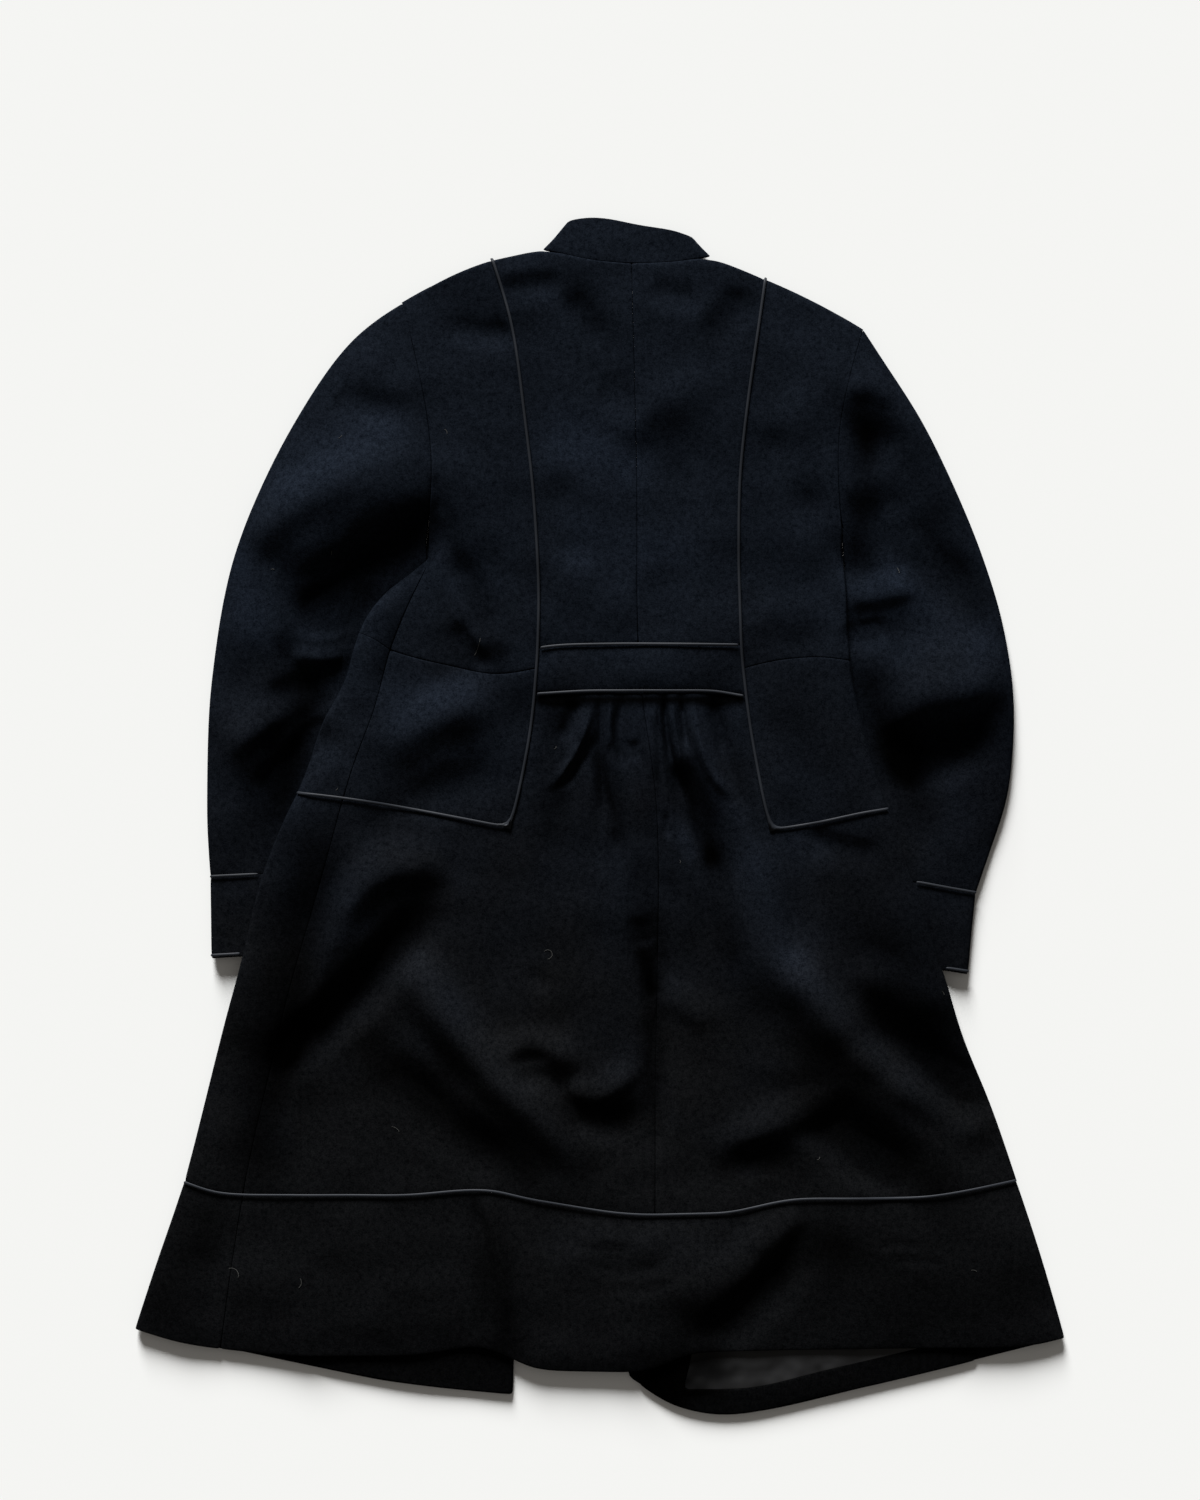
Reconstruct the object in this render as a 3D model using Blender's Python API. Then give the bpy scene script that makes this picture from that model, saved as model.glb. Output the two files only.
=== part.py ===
"""A knee-length wool coat laid flat on its front, back up, as separate cut pieces.

Metres, +Z up. The coat lies on the floor at z = 0 with its collar towards +Y. All sizes below are in
millimetres. Every piece is a wall of cloth that follows one lay of the coat: a flattened ring with a
lower layer (the fronts), an upper layer (the back) and a soft fold along each side.
"""
import math
from collections import namedtuple

import bpy
import numpy as np
from mathutils import Vector

MM = 0.001

# Driving sizes
CLOTH = 2.6
FACING = 1.5
LINING = 1.0
SEAM_GAP = 0.3
FOLD_RADIUS = 2.5
PIPING_WIDTH = 3.2
PIPING_HEIGHT = 2.0
PIPING_SIDES = 5
PUFF = 7.0
PUFF_REACH = 38.0
FADE = 14.0
HEM_RISE = 5.0
ARMPIT = 226.0
COVER_RAMP = 18.0
COVER_MARGIN = 4.0
COVER_END_RAMP = 34.0
COVER_END_MARGIN = 38.0
SLEEVE_CLEARANCE = 28.0
SLEEVE_START = 0.004
SLEEVE_TURN_START = 0.02
ARMPIT_EASE = 0.5
FRONT_NECK_DROP = 4.0
UNDER_SEAM_CELL = 3
BELT_PAD = 1.6
FACING_INSET = 1.5
LINING_TOP = -410.0
LINING_END = 330.0
COLLAR_OPENING_LEFT = 20.0
COLLAR_OPENING_RIGHT = 38.0
CUFF_END_PIPING = 0.04
PIPING_CLEARANCE = 4.0
TURN_NODES = 3
CUFF_ROW = 8
HEM_ROW = 9

HALF_WALL = CLOTH / 2
LOW = HALF_WALL
QUARTER_TURN = math.pi / 2 * FOLD_RADIUS
SLEEVE_LIFT = CLOTH + 2 * FOLD_RADIUS + SEAM_GAP

# A row for each section across the body: how far up the coat it is, and where its edges and seams lie.
# The edges are the armhole seams above the armpit, and the coat's folded sides below it.
Section = namedtuple("Section", "y left_edge left_seam centre right_seam right_edge")
SECTIONS = (
    Section(-470, -416, -236, 46, 296, 412),
    Section(-390, -390, -209, 47, 273, 389),
    Section(-320, -366, -186, 48, 252, 366),
    Section(-250, -348, -163, 48, 231, 342),
    Section(-190, -333, -142, 49, 212, 317),
    Section(-130, -316, -121, 50, 192, 299),
    Section(-60, -300, -97, 51, 167, 275),
    Section(0, -277, -77, 50, 146, 255),
    Section(40, -258, -68, 46, 138, 241),
    Section(80, -246, -61, 40, 131, 230),
    Section(120, -224, -57, 35, 126, 221),
    Section(150, -216, -55, 33, 123, 218),
    Section(190, -198, -54, 32, 122, 216),
    Section(226, -155, -55, 32, 121, 214),
    Section(260, -151, -57, 32, 121, 211),
    Section(300, -147, -60, 32, 122, 208),
    Section(340, -150, -65, 31, 126, 209),
    Section(380, -157, -70, 30, 131, 217),
    Section(420, -166, -75, 29, 137, 228),
    Section(455, -175, -83, 28, 142, 238),
    Section(500, -190, -99, 27, 148, 250),
)

# The side seam that shows on the left, where the front laps round onto the back. It starts on the armhole.
SeamRow = namedtuple("SeamRow", "y x")
SIDE_SEAM = (
    SeamRow(-466, -334),
    SeamRow(-333, -314),
    SeamRow(-161, -275),
    SeamRow(-38, -240),
    SeamRow(41, -218),
    SeamRow(94, -199),
    SeamRow(146, -185),
    SeamRow(200, -163),
    SeamRow(226, -150),
    SeamRow(260, -151),
)

# Lines that run across the coat, each a row for a place where its curve turns.
LineRow = namedtuple("LineRow", "x y")
SHOULDERS = (
    LineRow(-190, 443),
    LineRow(-158, 462),
    LineRow(-123, 480),
    LineRow(-95, 490),
    LineRow(-52, 500),
    LineRow(-39, 510),
    LineRow(-20, 528),
    LineRow(74, 516),
    LineRow(98, 493),
    LineRow(128, 480),
    LineRow(176, 459),
    LineRow(230, 429),
    LineRow(250, 414),
)
NECK = (
    LineRow(-52, 499),
    LineRow(-35, 495),
    LineRow(-10, 489),
    LineRow(27, 486),
    LineRow(60, 487),
    LineRow(98, 493),
)
COLLAR_TOP = (
    LineRow(-30, 522),
    LineRow(-18, 527),
    LineRow(-5, 527),
    LineRow(35, 520),
    LineRow(70, 514),
    LineRow(82, 508),
)
COLLAR_LEFT = (SeamRow(499, -51), SeamRow(508, -41), SeamRow(517, -34), SeamRow(523, -28))
COLLAR_RIGHT = (SeamRow(493, 97), SeamRow(500, 89), SeamRow(508, 82), SeamRow(513, 77))
BELT_TOP = (LineRow(-58, 148), LineRow(-30, 151), LineRow(35, 152), LineRow(126, 151))
BELT_BOTTOM = (LineRow(-60, 108), LineRow(0, 111), LineRow(92, 111), LineRow(128, 106))
WAIST_LEFT = (
    LineRow(-216, 162),
    LineRow(-204, 160),
    LineRow(-185, 147),
    LineRow(-132, 133),
    LineRow(-90, 125),
    LineRow(-55, 131),
)
WAIST_RIGHT = (LineRow(122, 130), LineRow(155, 138), LineRow(190, 141), LineRow(222, 137))
HIP_LEFT = (LineRow(-272, 22), LineRow(-225, 17), LineRow(-158, 6), LineRow(-80, -9))
HIP_RIGHT = (LineRow(150, -11), LineRow(194, -4), LineRow(229, 4), LineRow(256, 8))
CENTRE_BREAK = (LineRow(-80, -9), LineRow(50, -12), LineRow(150, -11))
HEM_SEAM = (
    LineRow(-366, -320),
    LineRow(-330, -331),
    LineRow(-176, -331),
    LineRow(-105, -326),
    LineRow(-60, -335),
    LineRow(44, -348),
    LineRow(100, -347),
    LineRow(180, -334),
    LineRow(264, -334),
    LineRow(366, -319),
)
HEM_EDGE = (
    LineRow(-410, -449),
    LineRow(-370, -462),
    LineRow(-246, -473),
    LineRow(-170, -473),
    LineRow(-96, -463),
    LineRow(-76, -478),
    LineRow(-40, -486),
    LineRow(30, -487),
    LineRow(88, -470),
    LineRow(230, -467),
    LineRow(370, -465),
    LineRow(410, -457),
)
FRONT_HEM_LEFT = (
    LineRow(-410, -449),
    LineRow(-370, -463),
    LineRow(-297, -473),
    LineRow(-194, -495),
    LineRow(-141, -502),
    LineRow(-76, -508),
)
FRONT_HEM_RIGHT = (
    LineRow(24, -492),
    LineRow(48, -510),
    LineRow(79, -524),
    LineRow(106, -528),
    LineRow(194, -511),
    LineRow(334, -478),
    LineRow(410, -457),
)
FACING_LEFT = (LineRow(-370, -425), LineRow(-76, -440))
FACING_RIGHT = (
    LineRow(24, -470),
    LineRow(66, -503),
    LineRow(120, -503),
    LineRow(194, -487),
    LineRow(330, -454),
    LineRow(410, -432),
)
LINING_EDGE = (SeamRow(-515, 68), SeamRow(-480, 80), SeamRow(-400, 86))
OPENING_LEFT = (SeamRow(-510, -77), SeamRow(-330, -72), SeamRow(100, 0), SeamRow(490, 24))
OPENING_RIGHT = (SeamRow(-530, 24), SeamRow(-330, 26), SeamRow(100, 30), SeamRow(490, 34))

# A row for each section along a sleeve, below the armhole: its outer and inner edge. The last two rows are
# the cuff's seam and the cuff's end.
SleeveRow = namedtuple("SleeveRow", "outer_x outer_y inner_x inner_y")
SLEEVE_LEFT = (
    SleeveRow(-218, 419, -171, 217),
    SleeveRow(-265, 352, -185, 204),
    SleeveRow(-301, 282, -198, 183),
    SleeveRow(-325, 216, -207, 145),
    SleeveRow(-337, 150, -211, 95),
    SleeveRow(-344, 80, -210, 40),
    SleeveRow(-345, 0, -207, -10),
    SleeveRow(-342, -52, -207, -45),
    SleeveRow(-341, -124, -209, -116),
)
SLEEVE_RIGHT = (
    SleeveRow(250, 397, 218, 218),
    SleeveRow(281, 349, 217, 203),
    SleeveRow(309, 292, 214, 176),
    SleeveRow(335, 229, 211, 142),
    SleeveRow(355, 160, 210, 110),
    SleeveRow(363, 94, 209, 72),
    SleeveRow(358, 20, 207, 14),
    SleeveRow(329, -66, 202, -43),
    SleeveRow(322, -138, 195, -117),
)

# The gathers under the belt, a row for each crest or hollow: where it is at the belt and how high it stands.
Gather = namedtuple("Gather", "x rise")
GATHERS = (
    Gather(-60, 0.0),
    Gather(-44, 2.0),
    Gather(-22, -0.5),
    Gather(-7, 5.5),
    Gather(-1, 1.5),
    Gather(7, 6.5),
    Gather(18, 1.0),
    Gather(25, 4.5),
    Gather(37, 5.0),
    Gather(41, 3.0),
    Gather(46, 6.5),
    Gather(55, 0.5),
    Gather(62, 7.0),
    Gather(71, 1.5),
    Gather(81, 8.0),
    Gather(99, -0.5),
    Gather(114, 3.0),
    Gather(130, 0.0),
)
GATHER_Y = 108.0
GATHER_DROP = 3.0
GATHER_GROWTH = 8.0
GATHER_SOFTEN = 70.0
GATHER_END = -50.0
GATHER_SEAM_FADE = 0.08

# The large folds, a row for each: three places along its crest, how high it stands (a hollow is negative)
# and how wide it is to the left and to the right of its run.
Fold = namedtuple("Fold", "name x0 y0 x1 y1 x2 y2 rise left right")
FOLDS = (
    Fold("gather_sweep_left", -7, 90, -25, 50, -55, 2, 7, 18, 18),
    Fold("gather_cut_left", -3, 78, -16, 46, -39, 15, -5, 10, 10),
    Fold("gather_cut_inner", -2, 55, 4, 19, 18, -16, -4, 9, 9),
    Fold("gather_cut_right", 56, 63, 77, 15, 106, -60, -6, 11, 11),
    Fold("gather_sweep_right", 81, 92, 102, 24, 145, -64, 7, 23, 21),
    Fold("skirt_right_long", 128, -29, 167, -148, 295, -280, 13, 40, 46),
    Fold("skirt_right_edge", 220, -64, 277, -121, 339, -209, 9, 44, 40),
    Fold("centre_hollow", 50, -55, 51, -170, 51, -302, -5, 26, 26),
    Fold("bow_left", -101, -217, -60, -193, -19, -235, 7, 21, 16),
    Fold("bow_right", -25, -231, 0, -260, 46, -203, 7, 21, 16),
    Fold("skirt_left_upper", -141, -36, -209, -86, -301, -218, 10, 35, 37),
    Fold("skirt_left_hollow", -154, -60, -218, -148, -297, -249, -5, 21, 21),
    Fold("skirt_left_long", -178, -121, -132, -192, -26, -311, 11, 46, 30),
    Fold("side_left_ridge", -97, 112, -150, 72, -207, 46, 7, 32, 30),
    Fold("side_left_crease", -154, 191, -128, 151, -95, 114, -4, 14, 18),
    Fold("hem_swell_right", 114, -348, 62, -416, 13, -465, 6, 53, 53),
    Fold("hem_cut_right", 189, -341, 145, -416, 81, -471, -4, 19, 19),
    Fold("hem_step", -107, -325, -91, -399, -83, -469, 6, 30, 13),
    Fold("sleeve_left_crown", -246, 392, -201, 386, -151, 369, 8, 40, 26),
    Fold("sleeve_left_elbow", -321, 237, -238, 275, -136, 316, 20, 63, 46),
    Fold("sleeve_left_middle", -339, 156, -282, 159, -222, 145, 10, 35, 23),
    Fold("sleeve_left_low", -233, 114, -286, 78, -341, 50, 12, 42, 32),
    Fold("sleeve_right_crown", 216, 392, 251, 374, 286, 332, 8, 35, 26),
    Fold("sleeve_right_cross", 216, 312, 277, 248, 345, 189, 14, 46, 32),
    Fold("sleeve_right_tuck", 220, 200, 248, 202, 271, 156, 11, 26, 18),
    Fold("sleeve_right_elbow", 359, 114, 299, 112, 234, 91, 18, 40, 62),
    Fold("sleeve_right_low", 345, 11, 295, -29, 255, -55, 6, 30, 30),
    Fold("yoke_left", -114, 471, -53, 483, 0, 464, 4, 21, 19),
    Fold("yoke_right", 35, 481, 79, 468, 134, 474, 4, 26, 26),
    Fold("blade_left", -53, 349, -22, 305, 0, 244, 3, 44, 44),
)
FOLD_STEPS = 14
FOLD_TAPER = 0.3

# Heights where pieces on both sides of a seam have a point, so that their edges run side by side.
ARMHOLE_CELLS = 7
BELOW_ARMPIT_LEVELS = (208, 190)
BELT_LEVEL = 120
GATHER_LEVELS = (105, 99, 90, 72, 54, 36, 18)


def lerp(start, end, share):
    return start + (end - start) * share


def ease(share):
    share = min(1.0, max(0.0, share))
    return share * share * (3 - 2 * share)


def smooth(places, values):
    """A curve through the values that never overshoots them, flat past its ends."""
    order = np.argsort(places)
    at = np.array(places, float)[order]
    value = np.array(values, float)[order]
    step = np.diff(at)
    slope = np.diff(value) / step
    tangent = np.zeros(len(at))
    for i in range(1, len(at) - 1):
        if slope[i - 1] * slope[i] > 0:
            before = 2 * step[i] + step[i - 1]
            after = step[i] + 2 * step[i - 1]
            tangent[i] = (before + after) / (before / slope[i - 1] + after / slope[i])
    tangent[0] = slope[0]
    tangent[-1] = slope[-1]

    def curve(place):
        place = min(at[-1], max(at[0], place))
        i = min(len(step) - 1, max(0, int(np.searchsorted(at, place)) - 1))
        t = (place - at[i]) / step[i]
        rise = value[i + 1] - value[i]
        bend = step[i] * tangent[i]
        end_bend = step[i] * tangent[i + 1]
        return float(
            value[i]
            + t * (bend + t * (3 * rise - 2 * bend - end_bend + t * (bend + end_bend - 2 * rise)))
        )

    return curve


def column(rows, name="x"):
    """A seam or edge up the coat: x for a given y."""
    return smooth([row.y for row in rows], [getattr(row, name) for row in rows])


def line(rows):
    """A seam or edge across the coat: y for a given x."""
    return smooth([row.x for row in rows], [row.y for row in rows])


left_edge = column(SECTIONS, "left_edge")
right_edge = column(SECTIONS, "right_edge")
left_seam = column(SECTIONS, "left_seam")
right_seam = column(SECTIONS, "right_seam")
centre_seam = column(SECTIONS, "centre")
side_seam = column(SIDE_SEAM)
opening_left = column(OPENING_LEFT)
opening_right = column(OPENING_RIGHT)
collar_left = column(COLLAR_LEFT)
collar_right = column(COLLAR_RIGHT)
shoulder_outline = line(SHOULDERS)
neck_seam = line(NECK)
BELT_TOP_LINE = line(BELT_TOP)
BELT_BOTTOM_LINE = line(BELT_BOTTOM)
HEM_LINE = line(HEM_EDGE)
NECK_LEFT = NECK[0].x
NECK_RIGHT = NECK[-1].x


def shoulder_fold(x):
    """The crest of the shoulder's fold, half a wall inside the outline."""
    return shoulder_outline(x) - HALF_WALL


def top_edge(x):
    """The upper edge of backs and fronts: on the crest of the shoulder fold, and along the neck seam."""
    if NECK_LEFT < x < NECK_RIGHT:
        return neck_seam(x)
    away = max(NECK_LEFT - x, x - NECK_RIGHT)
    return lerp(neck_seam(x), shoulder_fold(x) + QUARTER_TURN - FOLD_RADIUS, ease(away / 15 + 0.4))


def side_fold(edge, y, outward):
    """The crest of a side's fold. Above the armpit it runs off, because the sleeve is there."""
    above = max(0.0, y - ARMPIT)
    return edge(min(y, ARMPIT)) + outward * (3 * above - HALF_WALL)


def left_fold(y):
    return side_fold(left_edge, y, -1)


def right_fold(y):
    return side_fold(right_edge, y, 1)


def brink_left(y):
    """Where the lay, rolled out flat, reaches the crest of the left fold; above the armpit, the armhole."""
    if y >= ARMPIT:
        return left_edge(y)
    return left_fold(y) + FOLD_RADIUS - QUARTER_TURN


def brink_right(y):
    if y >= ARMPIT:
        return right_edge(y)
    return right_fold(y) - FOLD_RADIUS + QUARTER_TURN


def fold_path(fold):
    """Points along a fold's crest, on the curve through its three places."""
    start = np.array((fold.x0, fold.y0), float)
    middle = np.array((fold.x1, fold.y1), float)
    end = np.array((fold.x2, fold.y2), float)
    pull = 2 * middle - (start + end) / 2
    share = np.linspace(0, 1, FOLD_STEPS + 1)[:, None]
    return (1 - share) ** 2 * start + 2 * share * (1 - share) * pull + share ** 2 * end


FOLD_PATHS = [fold_path(fold) for fold in FOLDS]
FOLD_BOXES = [(path.min(0) - max(fold.left, fold.right), path.max(0) + max(fold.left, fold.right))
              for fold, path in zip(FOLDS, FOLD_PATHS)]


def fold_height(fold, path, x, y):
    """How far one fold lifts the cloth at a place."""
    here = np.array((x, y))
    start = path[:-1]
    run = path[1:] - start
    share = np.clip(((here - start) * run).sum(1) / (run ** 2).sum(1), 0, 1)
    away = here - (start + run * share[:, None])
    distance = np.hypot(away[:, 0], away[:, 1])
    near = int(np.argmin(distance))
    side = run[near][0] * away[near][1] - run[near][1] * away[near][0]
    width = fold.left if side > 0 else fold.right
    if distance[near] >= width:
        return 0.0
    along = (near + share[near]) / len(start)
    taper = ease(along / FOLD_TAPER + 0.15) * ease((1 - along) / FOLD_TAPER + 0.15)
    return fold.rise * taper * (0.5 + 0.5 * math.cos(math.pi * distance[near] / width))


gather_profile = smooth([row.x for row in GATHERS], [row.rise for row in GATHERS])


def gather_height(x, y):
    """The gathers: the belt's profile, spread as the panel widens and dying away down the skirt."""
    below = BELT_BOTTOM_LINE(x) - GATHER_DROP - y
    if below < 0 or y < GATHER_END:
        return 0.0
    centre = centre_seam(y)
    seam = left_seam if x < centre else right_seam
    share = (x - centre) / (seam(y) - centre)
    at_belt = lerp(centre_seam(GATHER_Y), seam(GATHER_Y), share)
    fade = ease((y - GATHER_END) / (GATHER_SOFTEN - GATHER_END)) * ease((1 - share) / GATHER_SEAM_FADE)
    return gather_profile(at_belt) * ease(below / GATHER_GROWTH) * fade


def belt_height(x, y):
    """The half belt stands a little proud of the back, between its edges and the two princess seams."""
    inside = min(BELT_TOP_LINE(x) - y, y - BELT_BOTTOM_LINE(x), x - left_seam(y), right_seam(y) - x)
    return BELT_PAD * ease(inside / 8)


def loft(x, y):
    """The cloth's height over the flat lay: its folds and gathers."""
    height = gather_height(x, y) + belt_height(x, y)
    for fold, path, (low, high) in zip(FOLDS, FOLD_PATHS, FOLD_BOXES):
        if low[0] < x < high[0] and low[1] < y < high[1]:
            height += fold_height(fold, path, x, y)
    return height


def puff(distance):
    return PUFF * (1 - math.exp(-max(0.0, distance) / PUFF_REACH))


def sleeve_inner(rows):
    """The sleeve's inner edge as x for a given y, where it runs under the body."""
    return smooth([row.inner_y for row in rows], [row.inner_x for row in rows])


inner_left = sleeve_inner(SLEEVE_LEFT)
inner_right = sleeve_inner(SLEEVE_RIGHT)


def covered(x, y, rows, inner, outward):
    """How far the body is lifted by the sleeve under it, from 0 to 1."""
    past = (x - inner(y)) * -outward - COVER_MARGIN
    end = max(rows[-1].inner_y, rows[-1].outer_y) - abs(rows[-1].outer_y - rows[-1].inner_y)
    down = ease((y - end + COVER_END_MARGIN + COVER_END_RAMP) / COVER_END_RAMP)
    up = ease((ARMPIT - y) / COVER_RAMP)
    return (1 - ease(past / COVER_RAMP)) * down * up


def floor_height(x, y):
    """The middle of the lower layer's wall, on the floor or over a sleeve."""
    over = covered(x, y, SLEEVE_LEFT, inner_left, -1) if x < 0 else covered(x, y, SLEEVE_RIGHT, inner_right, 1)
    return LOW + SLEEVE_LIFT * over


def roll(distance, height, layer):
    """A place across a side fold, from how far it lies inside the fold's start, in the rolled-out lay.

    Returns how far in from the crest it is, how high over the lower layer, and whether it is flat cloth.
    """
    if distance >= FOLD_RADIUS:
        rest = 2 * FOLD_RADIUS + height if layer > 0 else 0.0
        return distance, rest
    turn = (FOLD_RADIUS - distance) / FOLD_RADIUS
    if turn >= math.pi:
        rest = 0.0 if layer > 0 else 2 * FOLD_RADIUS + height
        return FOLD_RADIUS + (turn - math.pi) * FOLD_RADIUS, rest
    return FOLD_RADIUS * (1 - math.sin(turn)), FOLD_RADIUS * (1 + layer * math.cos(turn))


def body_loft(x, y):
    """Folds and fullness over the back, dying away into the side folds and the shoulders."""
    side = min(x - left_fold(y), right_fold(y) - x) - FOLD_RADIUS
    top = shoulder_fold(x) - FOLD_RADIUS - y
    fullness = puff(min(side, top, y - HEM_LINE(x) + HEM_RISE))
    return fullness + loft(x, y) * ease(side / FADE) * ease(top / FADE)


def body(x, y, layer):
    """The middle of the wall at a place of the rolled-out lay: layer 1 is the back, -1 the fronts."""
    left = left_fold(y)
    right = right_fold(y)
    from_left = x - left < right - x
    crest = left if from_left else right
    inward = 1 if from_left else -1
    distance = (x - crest) * inward
    bottom_x = crest + inward * max(distance, FOLD_RADIUS)
    turned = max(0.0, (FOLD_RADIUS - distance) / FOLD_RADIUS)
    flat_x = bottom_x if turned < math.pi else crest + inward * (FOLD_RADIUS + (turned - math.pi) * FOLD_RADIUS)
    lift = body_loft(flat_x, min(y, shoulder_fold(flat_x) - FOLD_RADIUS)) if layer > 0 or turned > math.pi else 0.0
    inside, height = roll(distance, lift, layer)
    place_x = crest + inward * inside
    past_top = y - (shoulder_fold(place_x) - FOLD_RADIUS)
    base = floor_height(flat_x, y)
    if past_top <= 0:
        return np.array((place_x, y, base + height))
    turn = past_top / FOLD_RADIUS
    place_y = shoulder_fold(place_x) - FOLD_RADIUS + FOLD_RADIUS * math.sin(turn)
    return np.array((place_x, place_y, base + FOLD_RADIUS + (height - FOLD_RADIUS) * math.cos(turn)))


def collar(x, y, layer):
    """The stand collar: the same kind of flattened ring, with no folds in it."""
    left = collar_left(y) + HALF_WALL
    right = collar_right(y) - HALF_WALL
    from_left = x - left < right - x
    crest = left if from_left else right
    inward = 1 if from_left else -1
    distance = (x - crest) * inward
    lift = puff(min(distance - FOLD_RADIUS, 522 - y)) * 0.8
    inside, height = roll(distance, max(0.0, lift), layer)
    return np.array((crest + inward * inside, y, LOW + height))


class Sleeve:
    """A sleeve laid flat: a tube from the armhole to the end of the cuff.

    A place on it is how far round from its outer crest, over the top, and which row along it.
    """

    def __init__(self, rows, armhole, fold, outward):
        self.armhole = armhole
        self.fold = fold
        self.outward = outward
        shoulder_y = meet(armhole, shoulder_fold)[1]
        first = SleeveRow(armhole(shoulder_y), shoulder_y, armhole(ARMPIT) + outward * ARMPIT_EASE, ARMPIT)
        rows = (first,) + tuple(rows)
        index = range(len(rows))
        self.outer = [smooth(index, [row.outer_x for row in rows]), smooth(index, [row.outer_y for row in rows])]
        self.inner = [smooth(index, [row.inner_x for row in rows]), smooth(index, [row.inner_y for row in rows])]

    def width(self, row):
        across = [inner(row) - outer(row) for inner, outer in zip(self.inner, self.outer)]
        return math.hypot(*across)

    def half_round(self, row):
        """Length over the top from crest to crest."""
        return self.width(row) - 2 * FOLD_RADIUS + 2 * QUARTER_TURN

    def flat(self, share, row):
        outer_x, outer_y = self.outer[0](row), self.outer[1](row)
        inner_x, inner_y = self.inner[0](row), self.inner[1](row)
        armhole_y = lerp(self.outer[1](0), ARMPIT, share)
        bow = self.armhole(armhole_y) - lerp(self.armhole(self.outer[1](0)), self.armhole(ARMPIT), share)
        near = max(0.0, 1 - row / 3)
        return lerp(outer_x, inner_x, share) + bow * near ** 2, lerp(outer_y, inner_y, share)

    def place(self, around, row):
        half = self.half_round(row)
        width = self.width(row)
        layer = 1
        if around > half:
            around = 2 * half - around
            layer = -1
        if around < 0:
            around = -around
            layer = -layer
        from_outer = around < half / 2
        distance = (around if from_outer else half - around) - QUARTER_TURN + FOLD_RADIUS
        x, y = self.flat(max(distance, FOLD_RADIUS) / width if from_outer
                         else 1 - max(distance, FOLD_RADIUS) / width, row)
        height = self.lift(x, y, distance) if layer > 0 else 0.0
        inside, level = roll(distance, height, layer)
        share = inside / width if from_outer else 1 - inside / width
        x, y = self.flat(share, row)
        return np.array((x, y, LOW + level))

    def lift(self, x, y, distance):
        """Fullness and folds, dying away at the crests and where the body lies on the sleeve."""
        edge_distance = distance - FOLD_RADIUS
        clear = (x - self.fold(min(y, ARMPIT))) * self.outward - SLEEVE_CLEARANCE
        above = max(0.0, y - ARMPIT)
        uncovered = ease((clear + 3 * above) / 22)
        return (puff(edge_distance) + loft(x, y) * ease(edge_distance / FADE)) * uncovered


def meet(seam, across):
    """Where a seam up the coat crosses a line across it."""
    y = across(seam(0))
    for _ in range(30):
        y = across(seam(y))
    return seam(y), y


def spaced(length, cells, hug_start=False, hug_end=False):
    """Shares along a length, with extra places round a fold at the ends that turn over one."""
    turn = [0.0, QUARTER_TURN / 2, QUARTER_TURN]
    head = turn if hug_start else [0.0]
    tail = [length - step for step in reversed(turn)] if hug_end else [length]
    between = np.linspace(head[-1], tail[0], cells + 1)[1:-1]
    return [place / length for place in (*head, *between, *tail)]


def patch(place, top, bottom, left, right, columns, rows, hug=""):
    """A grid of places between two lines across and two seams up, put where the lay has them.

    Columns and rows are counts of cells, or lists of shares; columns may also be a function that gives the
    shares of each row. Hug names the sides that turn over a fold.
    """
    corners = [meet(left, top), meet(right, top), meet(left, bottom), meet(right, bottom)]
    top_left, top_right, bottom_left, bottom_right = corners
    height = top_left[1] - bottom_left[1]
    shares = spaced(height, rows, "top" in hug) if isinstance(rows, int) else rows
    grid = []
    for down in shares:
        y_left = lerp(top_left[1], bottom_left[1], down)
        y_right = lerp(top_right[1], bottom_right[1], down)
        x_left, x_right = left(y_left), right(y_right)
        if isinstance(columns, int):
            across = spaced(math.hypot(x_right - x_left, y_right - y_left), columns, "left" in hug, "right" in hug)
        elif callable(columns):
            across = columns(y_left, x_left, x_right)
        else:
            across = columns
        row = []
        for share in across:
            x_top = lerp(top_left[0], top_right[0], share)
            x_bottom = lerp(bottom_left[0], bottom_right[0], share)
            over = top(x_top) - lerp(top_left[1], top_right[1], share)
            under = bottom(x_bottom) - lerp(bottom_left[1], bottom_right[1], share)
            x = lerp(x_left, x_right, share)
            y = lerp(y_left, y_right, share) + (1 - down) * over + down * under
            row.append(on_surface(place, x, y))
        if place in (front_place, collar_under_place):
            row = [(point, -out) for point, out in reversed(row)]
        grid.append(row)
    return grid


def on_surface(place, a, b, step_b=0.4):
    """A point of the lay and the direction straight out of the cloth there."""
    step_a = 0.4
    point = place(a, b)
    along_a = place(a + step_a, b) - place(a - step_a, b)
    along_b = place(a, b + step_b) - place(a, b - step_b)
    out = np.cross(along_a, along_b)
    return point, out / np.linalg.norm(out)


def back_place(x, y):
    return body(x, y, 1)


def front_place(x, y):
    """The lower layer, which faces the floor."""
    return body(x, y, -1)


def facing_place(x, y):
    return body(x, y, -1) + np.array((0, 0, HALF_WALL + SEAM_GAP + FACING / 2))


def lining_place(x, y):
    return body(x, y, -1) + np.array((0, 0, HALF_WALL + SEAM_GAP + LINING / 2))


def collar_top_place(x, y):
    return collar(x, y, 1)


def collar_under_place(x, y):
    return collar(x, y, -1)


def level(height):
    """A straight line across at one height."""
    return lambda x: height


def upright(place):
    """A straight seam up the coat at one place."""
    return lambda y: place


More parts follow.
